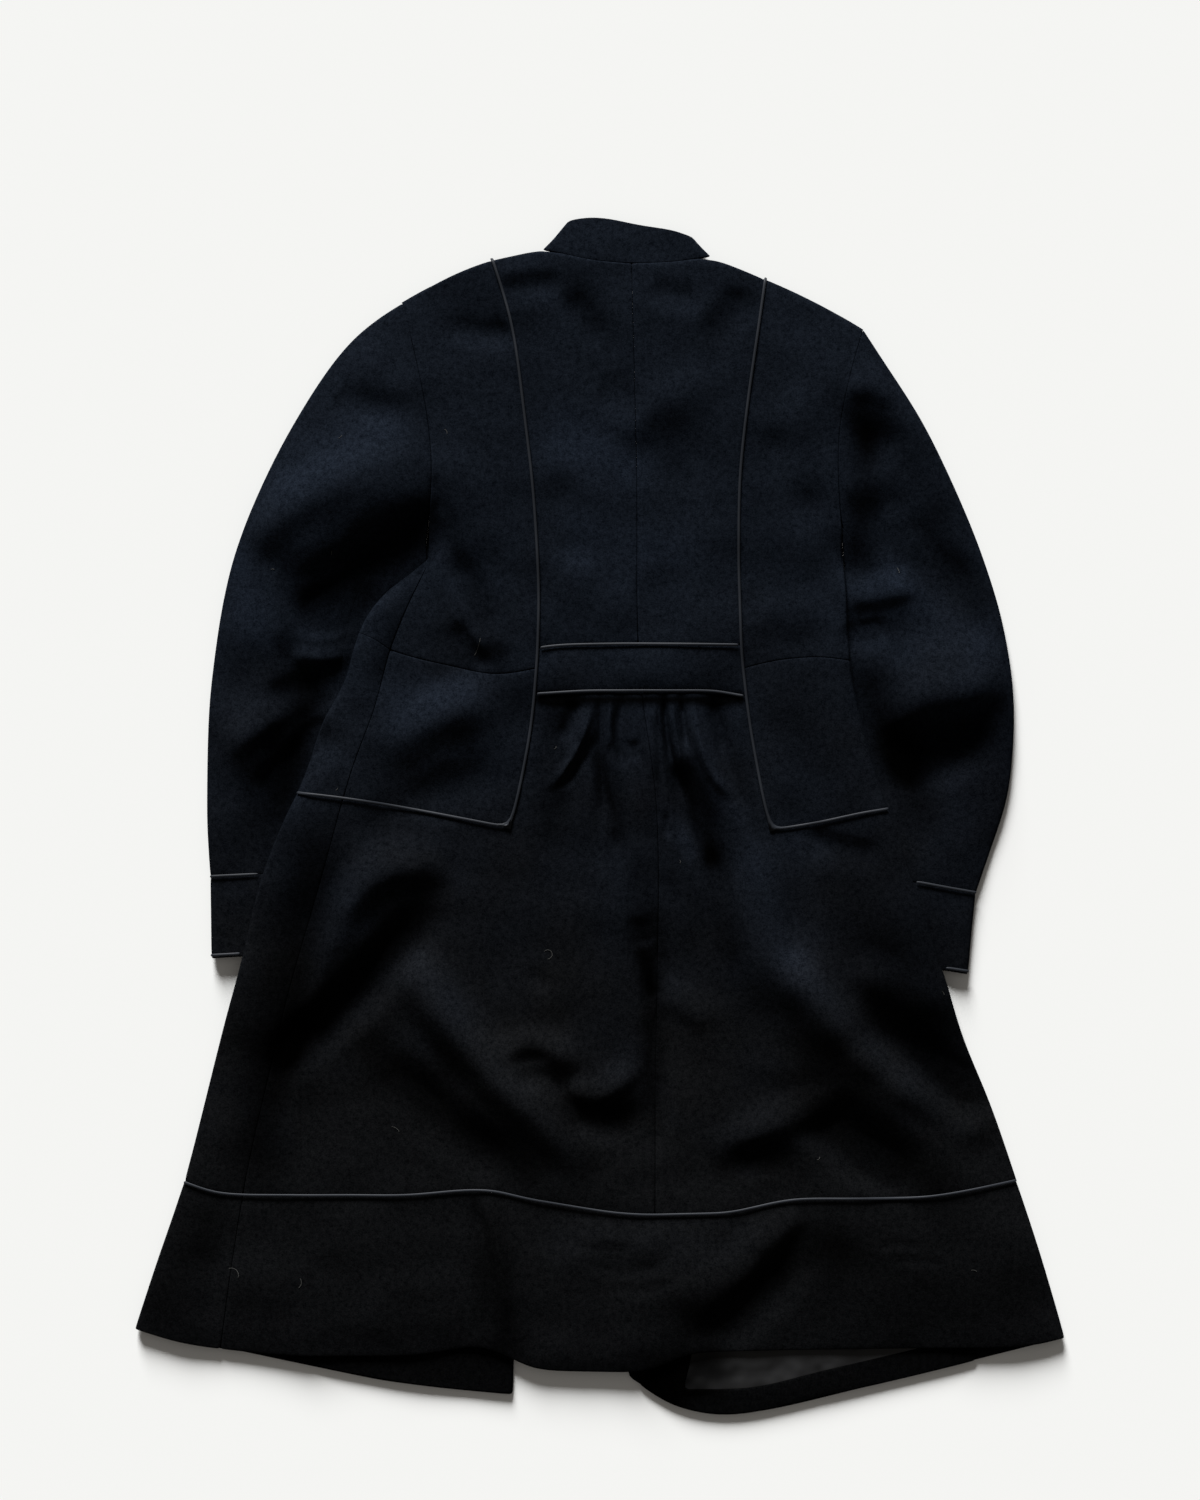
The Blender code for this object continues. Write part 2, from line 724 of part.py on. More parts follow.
def weld(grids):
    """One list of points and cells from grids that share edges."""
    points, normals, cells = [], [], []
    for grid in grids:
        index = []
        for row in grid:
            indices = []
            for point, normal in row:
                found = None
                if points:
                    distance = np.abs(np.array(points) - point).max(1)
                    nearest = int(np.argmin(distance))
                    found = nearest if distance[nearest] < 0.25 else None
                if found is None:
                    points.append(point)
                    normals.append(normal)
                    found = len(points) - 1
                indices.append(found)
            index.append(indices)
        for upper, lower in zip(index, index[1:]):
            for i in range(len(upper) - 1):
                cells.append((upper[i], lower[i], lower[i + 1], upper[i + 1]))
    return np.array(points), np.array(normals), cells


def open_edges(cells):
    """The edges that only one cell has, each with its cell, in the cell's own direction."""
    owners = {}
    for cell in cells:
        for a, b in zip(cell, cell[1:] + cell[:1]):
            owners.setdefault(frozenset((a, b)), []).append((a, b, cell))
    return [found[0] for found in owners.values() if len(found) == 1]


def drawn_in(points, cells, edges, gap):
    """Points with every open edge moved into its own panel by half a seam's gap."""
    pushes = {}
    for a, b, cell in edges:
        run = points[b] - points[a]
        run = run / np.linalg.norm(run)
        inward = points[list(cell)].mean(0) - (points[a] + points[b]) / 2
        inward = inward - run * np.dot(inward, run)
        inward = inward / np.linalg.norm(inward)
        pushes.setdefault(a, []).append(inward)
        pushes.setdefault(b, []).append(inward)
    moved = points.copy()
    for vertex, inwards in pushes.items():
        total = sum(inwards)
        if len(inwards) == 2:
            total = total / max(0.5, 1 + np.dot(inwards[0], inwards[1]))
        moved[vertex] = moved[vertex] + total * gap / 2
    return moved


def build(name, vertices, faces, look):
    mesh = bpy.data.meshes.new(name)
    mesh.from_pydata([Vector(vertex) * MM for vertex in vertices], [], faces)
    mesh.materials.append(look)
    mesh.validate()
    mesh.shade_smooth()
    mesh.set_sharp_from_angle(angle=math.radians(50))
    piece = bpy.data.objects.new(name, mesh)
    bpy.context.scene.collection.objects.link(piece)
    return piece


def rim(outer, inner, a, b):
    """The two faces of a cut edge, split across its shorter diagonal, so that both sides of a seam match."""
    count = len(outer)
    down = np.linalg.norm(outer[b] - inner[a])
    up = np.linalg.norm(outer[a] - inner[b])
    if down < up:
        return (b, a, count + a), (b, count + a, count + b)
    return (b, a, count + b), (a, count + a, count + b)


def wall(name, grids, look, thickness=CLOTH, gap=SEAM_GAP):
    """A closed wall of cloth round the middle surface that the grids give."""
    points, normals, cells = weld(grids)
    edges = open_edges(cells)
    points = drawn_in(points, cells, edges, gap)
    count = len(points)
    outer = points + normals * thickness / 2
    inner = points - normals * thickness / 2
    faces = [tuple(cell) for cell in cells]
    faces += [tuple(count + i for i in reversed(cell)) for cell in cells]
    faces += [face for a, b, _ in edges for face in rim(outer, inner, a, b)]
    return build(name, np.vstack((outer, inner)), faces, look)


def cord(name, path, look):
    """Piping that lies along a seam: a flat round, lifted clear of the cloth it runs on."""
    rise = HALF_WALL + SEAM_GAP + PIPING_HEIGHT / 2
    centres = [point + normal * rise for point, normal in path]
    vertices, faces = [], []
    for i, (centre, (_, normal)) in enumerate(zip(centres, path)):
        ahead = centres[min(i + 1, len(centres) - 1)] - centres[i]
        behind = centres[i] - centres[max(i - 1, 0)]
        units = [step / np.linalg.norm(step) for step in (ahead, behind) if np.linalg.norm(step) > 0]
        run = sum(units)
        run = run / np.linalg.norm(run)
        side = np.cross(run, normal)
        side = side / np.linalg.norm(side)
        bend = abs(np.dot(units[0], run))
        for k in range(PIPING_SIDES):
            angle = 2 * math.pi * k / PIPING_SIDES
            across = side * math.cos(angle) * PIPING_WIDTH / 2 / bend
            up = normal * math.sin(angle) * PIPING_HEIGHT / 2
            vertices.append(centre + across + up)
    for i in range(len(centres) - 1):
        for k in range(PIPING_SIDES):
            start = i * PIPING_SIDES + k
            beside = i * PIPING_SIDES + (k + 1) % PIPING_SIDES
            faces.append((start, start + PIPING_SIDES, beside + PIPING_SIDES, beside))
    last = (len(centres) - 1) * PIPING_SIDES
    faces.append(tuple(range(PIPING_SIDES)))
    faces.append(tuple(last + k for k in reversed(range(PIPING_SIDES))))
    return build(name, vertices, faces, look)


def material(name, colour, roughness):
    look = bpy.data.materials.new(name)
    look.use_nodes = True
    shader = look.node_tree.nodes["Principled BSDF"]
    shader.inputs["Base Color"].default_value = (*colour, 1.0)
    shader.inputs["Roughness"].default_value = roughness
    shader.inputs["Metallic"].default_value = 0.0
    return look


def wool(name):
    return material(name + "_wool", (0.020, 0.022, 0.030), 0.9)


def satin(name):
    return material(name + "_satin", (0.115, 0.120, 0.135), 0.42)


def level_shares(start, end, levels, turn_top=False):
    """Rows of a panel as shares of its edge, from the levels that lie between the edge's ends."""
    between = sorted((place for place in levels if end + 0.6 < place < start - 0.6), reverse=True)
    turn = [start - QUARTER_TURN / 2, start - QUARTER_TURN] if turn_top else []
    return [(start - place) / (start - end) for place in (start, *turn, *between, end)]


def armhole_levels(edge):
    """Heights down the armhole, evenly spaced from the foot of the shoulder's fold to the armpit."""
    start = meet(edge, top_edge)[1] - QUARTER_TURN
    return list(np.linspace(start, ARMPIT, ARMHOLE_CELLS + 1)[1:-1])


def side_rows(edge, waist):
    """Rows of a side back as shares: a place for each level of the armhole, the armpit, and those below."""
    start = meet(edge, top_edge)[1]
    end = meet(edge, waist)[1]
    return level_shares(start, end, (*armhole_levels(edge), ARMPIT, *BELOW_ARMPIT_LEVELS), True)


def seam_levels(seam, edge, waist):
    """Every height along a princess seam where a piece on either side of it has a point."""
    start = meet(seam, top_edge)[1]
    end = meet(seam, waist)[1]
    upper = [start - share * (start - end) for share in side_rows(edge, waist)]
    belt = [meet(seam, BELT_TOP_LINE)[1], meet(seam, BELT_BOTTOM_LINE)[1], BELT_LEVEL]
    return sorted({*upper, *belt, *GATHER_LEVELS}, reverse=True)


def shares_on(seam, top, bottom, levels):
    return level_shares(meet(seam, top)[1], meet(seam, bottom)[1], levels)


def gather_shares(seam):
    """Columns of the gathered panel: one for each crest and hollow, and one between most pairs."""
    centre = centre_seam(GATHER_Y)
    side = seam(GATHER_Y)
    crests = [row.x for row in GATHERS if min(centre, side) + 2 < row.x < max(centre, side) - 2]
    stops = sorted([side, *crests, centre])
    places = []
    for a, b in zip(stops, stops[1:]):
        places += [a, (a + b) / 2] if b - a > 6 else [a]
    places.append(stops[-1])
    return [(place - stops[0]) / (stops[-1] - stops[0]) for place in places]


def belt_shares():
    """Columns of the belt, which meet those of the two gathered panels under it."""
    left, centre, right = [meet(seam, BELT_BOTTOM_LINE)[0] for seam in (left_seam, centre_seam, right_seam)]
    places = [lerp(left, centre, share) for share in gather_shares(left_seam)]
    places += [lerp(centre, right, share) for share in gather_shares(right_seam)[1:]]
    return [(place - left) / (right - left) for place in places]


def side_back_edge(y):
    """The left side of the back: the armhole, then the side seam."""
    return left_edge(y) if y > SIDE_SEAM[-1].y else side_seam(y)


def front_top(x):
    """The upper edge of the fronts, whose neck is cut a little lower than the back's."""
    inside = min(x - NECK_LEFT, NECK_RIGHT - x)
    return top_edge(x) - FRONT_NECK_DROP * ease(inside / 8)


def at_brink(brink, across):
    """A line across the lower layer that starts where a line of the upper layer reaches the side fold."""
    return level(meet(brink, across)[1])


WAIST_LEFT_LINE = line(WAIST_LEFT)
WAIST_RIGHT_LINE = line(WAIST_RIGHT)
HIP_LEFT_LINE = line(HIP_LEFT)
HIP_RIGHT_LINE = line(HIP_RIGHT)
CENTRE_BREAK_LINE = line(CENTRE_BREAK)
HEM_SEAM_LINE = line(HEM_SEAM)
ARMPIT_LINE = level(ARMPIT)
LEFT_LEVELS = seam_levels(left_seam, side_back_edge, WAIST_LEFT_LINE)
RIGHT_LEVELS = seam_levels(right_seam, brink_right, WAIST_RIGHT_LINE)
SIDE_CELLS = 7
SKIRT_ROWS = 13
HEM_ROWS = 4
CENTRE_CELLS = 6
LAP_CELLS = 2
FRONT_CELLS = 4
SLEEVE_ROWS = 17
CUFF_ROWS = 3
ROW_STEP = 0.01


def make_centre_backs():
    """The two halves of the centre back, from the neck to the half belt."""
    rows = shares_on(left_seam, top_edge, BELT_TOP_LINE, LEFT_LEVELS)
    left = patch(back_place, top_edge, BELT_TOP_LINE, left_seam, centre_seam, CENTRE_CELLS, rows)
    wall("centre_back_left", [left], wool("centre_back_left"))
    rows = shares_on(right_seam, top_edge, BELT_TOP_LINE, RIGHT_LEVELS)
    right = patch(back_place, top_edge, BELT_TOP_LINE, centre_seam, right_seam, CENTRE_CELLS, rows)
    wall("centre_back_right", [right], wool("centre_back_right"))


def make_side_back_left():
    """Shoulder to waist, then waist to hip. Returns the points that the piping follows."""
    rows = shares_on(left_seam, top_edge, WAIST_LEFT_LINE, LEFT_LEVELS)
    upper = patch(back_place, top_edge, WAIST_LEFT_LINE, side_back_edge, left_seam, SIDE_CELLS, rows)
    wall("side_back_left", [upper], wool("side_back_left"))
    rows = shares_on(left_seam, WAIST_LEFT_LINE, HIP_LEFT_LINE, LEFT_LEVELS)
    lower = patch(back_place, WAIST_LEFT_LINE, HIP_LEFT_LINE, side_seam, left_seam, SIDE_CELLS, rows)
    wall("side_hip_left", [lower], wool("side_hip_left"))
    seam = [row[-1] for row in upper] + [row[-1] for row in lower[1:]]
    return seam + lower[-1][-2::-1]


def make_side_back_right():
    """Shoulder to waist, then waist to hip, with the piping down its seam and out along the hip."""
    cells = SIDE_CELLS - 1
    rows = shares_on(right_seam, top_edge, WAIST_RIGHT_LINE, RIGHT_LEVELS)
    upper = patch(back_place, top_edge, WAIST_RIGHT_LINE, right_seam, brink_right, cells, rows, "right")
    wall("side_back_right", [upper], wool("side_back_right"))
    rows = shares_on(right_seam, WAIST_RIGHT_LINE, HIP_RIGHT_LINE, RIGHT_LEVELS)
    lower = patch(back_place, WAIST_RIGHT_LINE, HIP_RIGHT_LINE, right_seam, brink_right, cells, rows, "right")
    wall("side_hip_right", [lower], wool("side_hip_right"))
    seam = [row[0] for row in upper] + [row[0] for row in lower[1:]]
    cord("piping_side_right", seam + lower[-1][1:-1], satin("piping_side_right"))


def make_belt():
    """The half belt between the princess seams, with piping along both its edges."""
    rows = shares_on(left_seam, BELT_TOP_LINE, BELT_BOTTOM_LINE, LEFT_LEVELS)
    belt = patch(back_place, BELT_TOP_LINE, BELT_BOTTOM_LINE, left_seam, right_seam, belt_shares(), rows)
    wall("half_belt", [belt], wool("half_belt"))
    for name, row in (("piping_belt_top", 0), ("piping_belt_bottom", -1)):
        cord(name, trimmed(belt[row], PIPING_WIDTH / 2 + SEAM_GAP * 2), satin(name))


def trimmed(path, length):
    """A path with both its ends taken in by a length."""
    start = shifted(path[0], path[1], length)
    end = shifted(path[-1], path[-2], length)
    return [start, *path[1:-1], end]


def shifted(node, towards, length):
    (point, normal), (target, _) = node, towards
    run = target - point
    return point + run * length / np.linalg.norm(run), normal


def make_skirt_backs():
    """Each half of the gathered skirt: a narrow part up to the belt and a wide part down to the hem band."""
    rows = shares_on(left_seam, BELT_BOTTOM_LINE, CENTRE_BREAK_LINE, LEFT_LEVELS)
    shares = gather_shares(left_seam)
    wall("skirt_back_left", [
        patch(back_place, BELT_BOTTOM_LINE, CENTRE_BREAK_LINE, left_seam, centre_seam, shares, rows),
        patch(back_place, CENTRE_BREAK_LINE, HEM_SEAM_LINE, left_seam, centre_seam, shares, SKIRT_ROWS),
        patch(back_place, HIP_LEFT_LINE, HEM_SEAM_LINE, side_seam, left_seam, SIDE_CELLS, SKIRT_ROWS),
    ], wool("skirt_back_left"))
    rows = shares_on(right_seam, BELT_BOTTOM_LINE, CENTRE_BREAK_LINE, RIGHT_LEVELS)
    shares = gather_shares(right_seam)
    wall("skirt_back_right", [
        patch(back_place, BELT_BOTTOM_LINE, CENTRE_BREAK_LINE, centre_seam, right_seam, shares, rows),
        patch(back_place, CENTRE_BREAK_LINE, HEM_SEAM_LINE, centre_seam, right_seam, shares, SKIRT_ROWS),
        patch(back_place, HIP_RIGHT_LINE, HEM_SEAM_LINE, right_seam, brink_right, SIDE_CELLS - 1, SKIRT_ROWS, "right"),
    ], wool("skirt_back_right"))


def make_back_hem():
    """The deep band round the back's hem. Returns the points of its upper seam."""
    spans = (
        (side_seam, left_seam, SIDE_CELLS, ""),
        (left_seam, centre_seam, gather_shares(left_seam), ""),
        (centre_seam, right_seam, gather_shares(right_seam), ""),
        (right_seam, brink_right, SIDE_CELLS - 1, "right"),
    )
    grids = [patch(back_place, HEM_SEAM_LINE, HEM_LINE, left, right, cells, HEM_ROWS, hug)
             for left, right, cells, hug in spans]
    wall("hem_band_back", grids, wool("hem_band_back"))
    return grids[0][0] + [node for grid in grids[1:] for node in grid[0][1:]]


def front_columns(y_side, x_left, x_right):
    """Columns of a front: round its fold, at both ends of the slope off the sleeve, and on to the opening."""
    y = min(y_side, ARMPIT)
    on_left = x_left < opening_left(y)
    width = x_right - x_left
    if on_left:
        sleeve = inner_left(y) - x_left
    else:
        sleeve = x_right - inner_right(y)
    foot = max(QUARTER_TURN + 6, sleeve + COVER_MARGIN)
    flat = foot + COVER_RAMP
    places = [0, QUARTER_TURN / 2, QUARTER_TURN, foot, flat, *np.linspace(flat, width, FRONT_CELLS)[1:]]
    shares = [place / width for place in places]
    return shares if on_left else [1 - share for share in reversed(shares)]


def lapped(top, bottom, under_top, under_bottom, rows):
    """A stretch of the left front: its part on the floor, and its lap round the fold to the side seam."""
    return [
        patch(front_place, under_top, under_bottom, brink_left, opening_left, front_columns, rows),
        patch(back_place, top, bottom, brink_left, side_seam, LAP_CELLS, rows, "left"),
    ]


def armhole_shares(edge):
    """Rows of a front beside its armhole, at the same heights as the back's."""
    return level_shares(meet(edge, front_top)[1], ARMPIT, armhole_levels(edge), True)


def below_armpit_shares(edge, waist, seam, levels, side):
    """Rows between the armpit and the waist, at the heights that the back's side edge has."""
    start = meet(side, top_edge)[1]
    end = meet(side, waist)[1]
    places = [start - share * (start - end) for share in shares_on(seam, top_edge, waist, levels)]
    return level_shares(ARMPIT, end, places)


def make_left_front():
    """The left front in its four cuts. Returns the hip seam and hem seam points on its lap."""
    waist = at_brink(brink_left, WAIST_LEFT_LINE)
    hip = at_brink(brink_left, HIP_LEFT_LINE)
    hem = at_brink(brink_left, HEM_SEAM_LINE)
    shares = front_columns(ARMPIT, brink_left(ARMPIT), opening_left(ARMPIT))
    chest = patch(front_place, front_top, ARMPIT_LINE, brink_left, opening_left, shares, armhole_shares(brink_left))
    rows = below_armpit_shares(brink_left, WAIST_LEFT_LINE, left_seam, LEFT_LEVELS, side_back_edge)
    wall("front_left", [chest, *lapped(ARMPIT_LINE, WAIST_LEFT_LINE, ARMPIT_LINE, waist, rows)], wool("front_left"))
    rows = shares_on(left_seam, WAIST_LEFT_LINE, HIP_LEFT_LINE, LEFT_LEVELS)
    wall("front_hip_left", lapped(WAIST_LEFT_LINE, HIP_LEFT_LINE, waist, hip, rows), wool("front_hip_left"))
    skirt = lapped(HIP_LEFT_LINE, HEM_SEAM_LINE, hip, hem, SKIRT_ROWS)
    wall("front_skirt_left", skirt, wool("front_skirt_left"))
    band = lapped(HEM_SEAM_LINE, HEM_LINE, hem, line(FRONT_HEM_LEFT), HEM_ROWS)
    wall("hem_band_front_left", band, wool("hem_band_front_left"))
    return skirt[1][0], band[1][0]


def make_right_front():
    """The right front in its four cuts, all on the floor, up to the crest of the right fold."""
    waist = at_brink(brink_right, WAIST_RIGHT_LINE)
    hip = at_brink(brink_right, HIP_RIGHT_LINE)
    hem = at_brink(brink_right, HEM_SEAM_LINE)
    shares = front_columns(ARMPIT, opening_right(ARMPIT), brink_right(ARMPIT))
    chest = patch(front_place, front_top, ARMPIT_LINE, opening_right, brink_right, shares, armhole_shares(brink_right))
    rows = below_armpit_shares(brink_right, WAIST_RIGHT_LINE, right_seam, RIGHT_LEVELS, brink_right)
    body_part = patch(front_place, ARMPIT_LINE, waist, opening_right, brink_right, front_columns, rows)
    wall("front_right", [chest, body_part], wool("front_right"))
    cuts = (
        ("front_hip_right", waist, hip, shares_on(right_seam, WAIST_RIGHT_LINE, HIP_RIGHT_LINE, RIGHT_LEVELS)),
        ("front_skirt_right", hip, hem, SKIRT_ROWS),
        ("hem_band_front_right", hem, line(FRONT_HEM_RIGHT), HEM_ROWS),
    )
    for name, top, bottom, rows in cuts:
        grid = patch(front_place, top, bottom, opening_right, brink_right, front_columns, rows)
        wall(name, [grid], wool(name))


def make_facings():
    """What shows inside the fronts at the hem: the wool facings, and the lining of the right front."""
    hem_left = line(FRONT_HEM_LEFT)
    hem_right = line(FRONT_HEM_RIGHT)
    top_left = line(FACING_LEFT)
    top_right = line(FACING_RIGHT)
    inset = FACING_INSET

    def above_left(x):
        return hem_left(x) + inset

    def above_right(x):
        return hem_right(x) + inset

    def inner_left_opening(y):
        return opening_left(y) - inset

    def inner_right_opening(y):
        return opening_right(y) + inset

    wall("hem_facing_left",
         [patch(facing_place, top_left, above_left, upright(FACING_LEFT[0].x), inner_left_opening, 8, 3)],
         wool("hem_facing_left"), FACING)
    lining_edge = column(LINING_EDGE)
    end = upright(LINING_END)
    wall("hem_facing_right", [
        patch(facing_place, level(LINING_TOP), top_right, inner_right_opening, lining_edge, 3, 3),
        patch(facing_place, top_right, above_right, inner_right_opening, lining_edge, 3, 3),
        patch(facing_place, top_right, above_right, lining_edge, end, 9, 3),
    ], wool("hem_facing_right"), FACING)
    wall("lining_right",
         [patch(lining_place, level(LINING_TOP), top_right, lining_edge, end, 9, 3)],
         satin("lining_right"), LINING)


def make_collar():
    """The stand collar, round from one front to the other, folded flat."""
    top = line(COLLAR_TOP)

    def left(y):
        return collar_left(y) + HALF_WALL + FOLD_RADIUS - QUARTER_TURN

    def right(y):
        return collar_right(y) - HALF_WALL - FOLD_RADIUS + QUARTER_TURN

    under_left = patch(collar_under_place, top, neck_seam, left, upright(COLLAR_OPENING_LEFT), 3, 3, "left")
    over = patch(collar_top_place, top, neck_seam, left, right, 8, 3, "left right")
    under_right = patch(collar_under_place, top, neck_seam, upright(COLLAR_OPENING_RIGHT), right, 3, 3, "right")
    wall("stand_collar", [under_left, over, under_right], wool("stand_collar"))


def over_top(sleeve, row):
    """Places from the outer crest over the top to the inner crest, which meet the armhole's levels at its row."""
    half = sleeve.half_round(row)
    half_at_armhole = sleeve.half_round(0)
    turn = QUARTER_TURN
    shoulder_y = sleeve.outer[1](0)
    places = [0, turn / 2, turn]
    for height in armhole_levels(sleeve.armhole):
        share = (shoulder_y - height) / (shoulder_y - ARMPIT)
        around = share * sleeve.width(0) - FOLD_RADIUS + turn
        flat_share = (around - turn) / (half_at_armhole - 2 * turn)
        places.append(turn + flat_share * (half - 2 * turn))
    return places + [half - turn, half - turn / 2, half]


def all_round(sleeve, row):
    """Places all the way round, from the outer crest over the top and back underneath."""
    top = over_top(sleeve, row)
    return top + [2 * top[-1] - place for place in reversed(top[:-1])]


def sleeve_grid(sleeve, rows, first, last):
    """A grid of the sleeve from one place round it to another, counted from the outer crest."""
    grid = []
    for row in rows:
        places = all_round(sleeve, row)
        count = len(places) - 1
        nodes = []
        for i in range(first, last + 1):
            around = places[i] if i >= 0 else places[i + count] - places[-1]
            turning = min(i % count, -i % count) < TURN_NODES
            start = SLEEVE_TURN_START if turning else SLEEVE_START
            point, normal = on_surface(sleeve.place, around, max(row, start), ROW_STEP)
            nodes.append((point, normal * sleeve.outward))
        grid.append(nodes if sleeve.outward < 0 else nodes[::-1])
    return grid


def shown(sleeve, nodes):
    """The part of a row that the body doesn't lie on, up to a point just short of the body's edge."""
    clear = [(point[0] - sleeve.fold(point[1])) * sleeve.outward - PIPING_CLEARANCE for point, _ in nodes]
    path = []
    for i, (point, normal) in enumerate(nodes):
        if clear[i] > 0:
            path.append((point, normal))
        if i + 1 < len(nodes) and clear[i] * clear[i + 1] < 0:
            share = clear[i] / (clear[i] - clear[i + 1])
            path.append((lerp(point, nodes[i + 1][0], share), normal if clear[i] > 0 else nodes[i + 1][1]))
    return path


def make_sleeve(side, rows, armhole, fold, outward):
    """A two-piece sleeve and its cuff, with piping along the cuff's two edges where they show."""
    sleeve = Sleeve(rows, armhole, fold, outward)
    along = np.linspace(SLEEVE_START, CUFF_ROW, SLEEVE_ROWS + 1)
    cuff_rows = np.linspace(CUFF_ROW, HEM_ROW, CUFF_ROWS + 1)
    inner_crest = len(over_top(sleeve, 0)) - 1
    back_seam = inner_crest - 3
    under_seam = UNDER_SEAM_CELL + 3
    wall("top_sleeve_" + side, [sleeve_grid(sleeve, along, -under_seam, back_seam)], wool("top_sleeve_" + side))
    wall("under_sleeve_" + side, [sleeve_grid(sleeve, along, back_seam, 2 * inner_crest - under_seam)],
         wool("under_sleeve_" + side))
    wall("cuff_" + side, [sleeve_grid(sleeve, cuff_rows, 0, 2 * inner_crest)], wool("cuff_" + side))
    for name, row in (("piping_cuff_top_", CUFF_ROW), ("piping_cuff_end_", HEM_ROW - CUFF_END_PIPING)):
        path = shown(sleeve, sleeve_grid(sleeve, [row], 1, inner_crest)[0])
        cord(name + side, path, satin(name + side))


def settle(pieces):
    """Stand the coat on the floor with the middle of its outline at the origin."""
    corners = np.array([vertex.co for piece in pieces for vertex in piece.data.vertices])
    low, high = corners.min(0), corners.max(0)
    shift = Vector(((low[0] + high[0]) / 2, (low[1] + high[1]) / 2, low[2]))
    for piece in pieces:
        for vertex in piece.data.vertices:
            vertex.co -= shift


def main():
    for item in list(bpy.data.objects):
        bpy.data.objects.remove(item)
    make_centre_backs()
    left_seam_points = make_side_back_left()
    make_side_back_right()
    make_belt()
    make_skirt_backs()
    hem_points = make_back_hem()
    hip_lap, hem_lap = make_left_front()
    make_right_front()
    make_facings()
    make_collar()
    make_sleeve("left", SLEEVE_LEFT, left_edge, left_fold, -1)
    make_sleeve("right", SLEEVE_RIGHT, right_edge, right_fold, 1)
    cord("piping_side_left", left_seam_points + hip_lap[-2:0:-1], satin("piping_side_left"))
    cord("piping_hem", hem_lap[1:] + hem_points[1:-1], satin("piping_hem"))
    settle(list(bpy.data.objects))


main()
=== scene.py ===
"""The looks of a dark wool coat that lies flat on its front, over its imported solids.

Metres, +Z up, the coat's collar towards +Y. Sizes in the tables below are in millimetres.
"""

import math
from collections import namedtuple

import bmesh
import bpy
import numpy as np
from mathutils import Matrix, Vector, noise


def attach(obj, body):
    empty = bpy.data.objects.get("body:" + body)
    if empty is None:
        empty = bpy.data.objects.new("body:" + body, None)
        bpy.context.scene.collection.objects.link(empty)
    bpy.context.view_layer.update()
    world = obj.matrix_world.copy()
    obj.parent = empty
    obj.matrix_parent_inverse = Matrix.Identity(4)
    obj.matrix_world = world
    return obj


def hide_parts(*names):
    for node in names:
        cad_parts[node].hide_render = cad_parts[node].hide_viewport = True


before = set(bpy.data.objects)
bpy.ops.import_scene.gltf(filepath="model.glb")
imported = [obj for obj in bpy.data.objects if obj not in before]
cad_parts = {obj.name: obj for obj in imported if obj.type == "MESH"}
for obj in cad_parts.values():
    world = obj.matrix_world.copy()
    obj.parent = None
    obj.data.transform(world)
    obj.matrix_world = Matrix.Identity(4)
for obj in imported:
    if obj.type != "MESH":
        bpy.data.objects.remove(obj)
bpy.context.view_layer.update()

MM = 0.001
ROUND_OVER = 1.0
SPREAD = 0.10
SLEEVE_SPREAD = 0.45
THICKEST_WALL = 0.004
WELD_DISTANCE = 0.00001
SHARP_ANGLE = math.radians(58)
PIPING_DETAIL = 2
PATH_STEPS = 18
TAPER = 0.3
TAPER_LEAD = 0.1
FLAT_LAYER = 3.4
DRAPE_ROOM = 3.2
SINK_SHARE = 0.6

# The unevenness of thick cloth, in millimetres: how long it is in x and in y, its place in the noise, and its
# height.
Swell = namedtuple("Swell", "length_x length_y place height")
SWELLS = (
    Swell(74, 56, 3.1, 3.0),
    Swell(34, 28, 1.7, 1.1),
    Swell(14, 14, 5.2, 0.16),
)

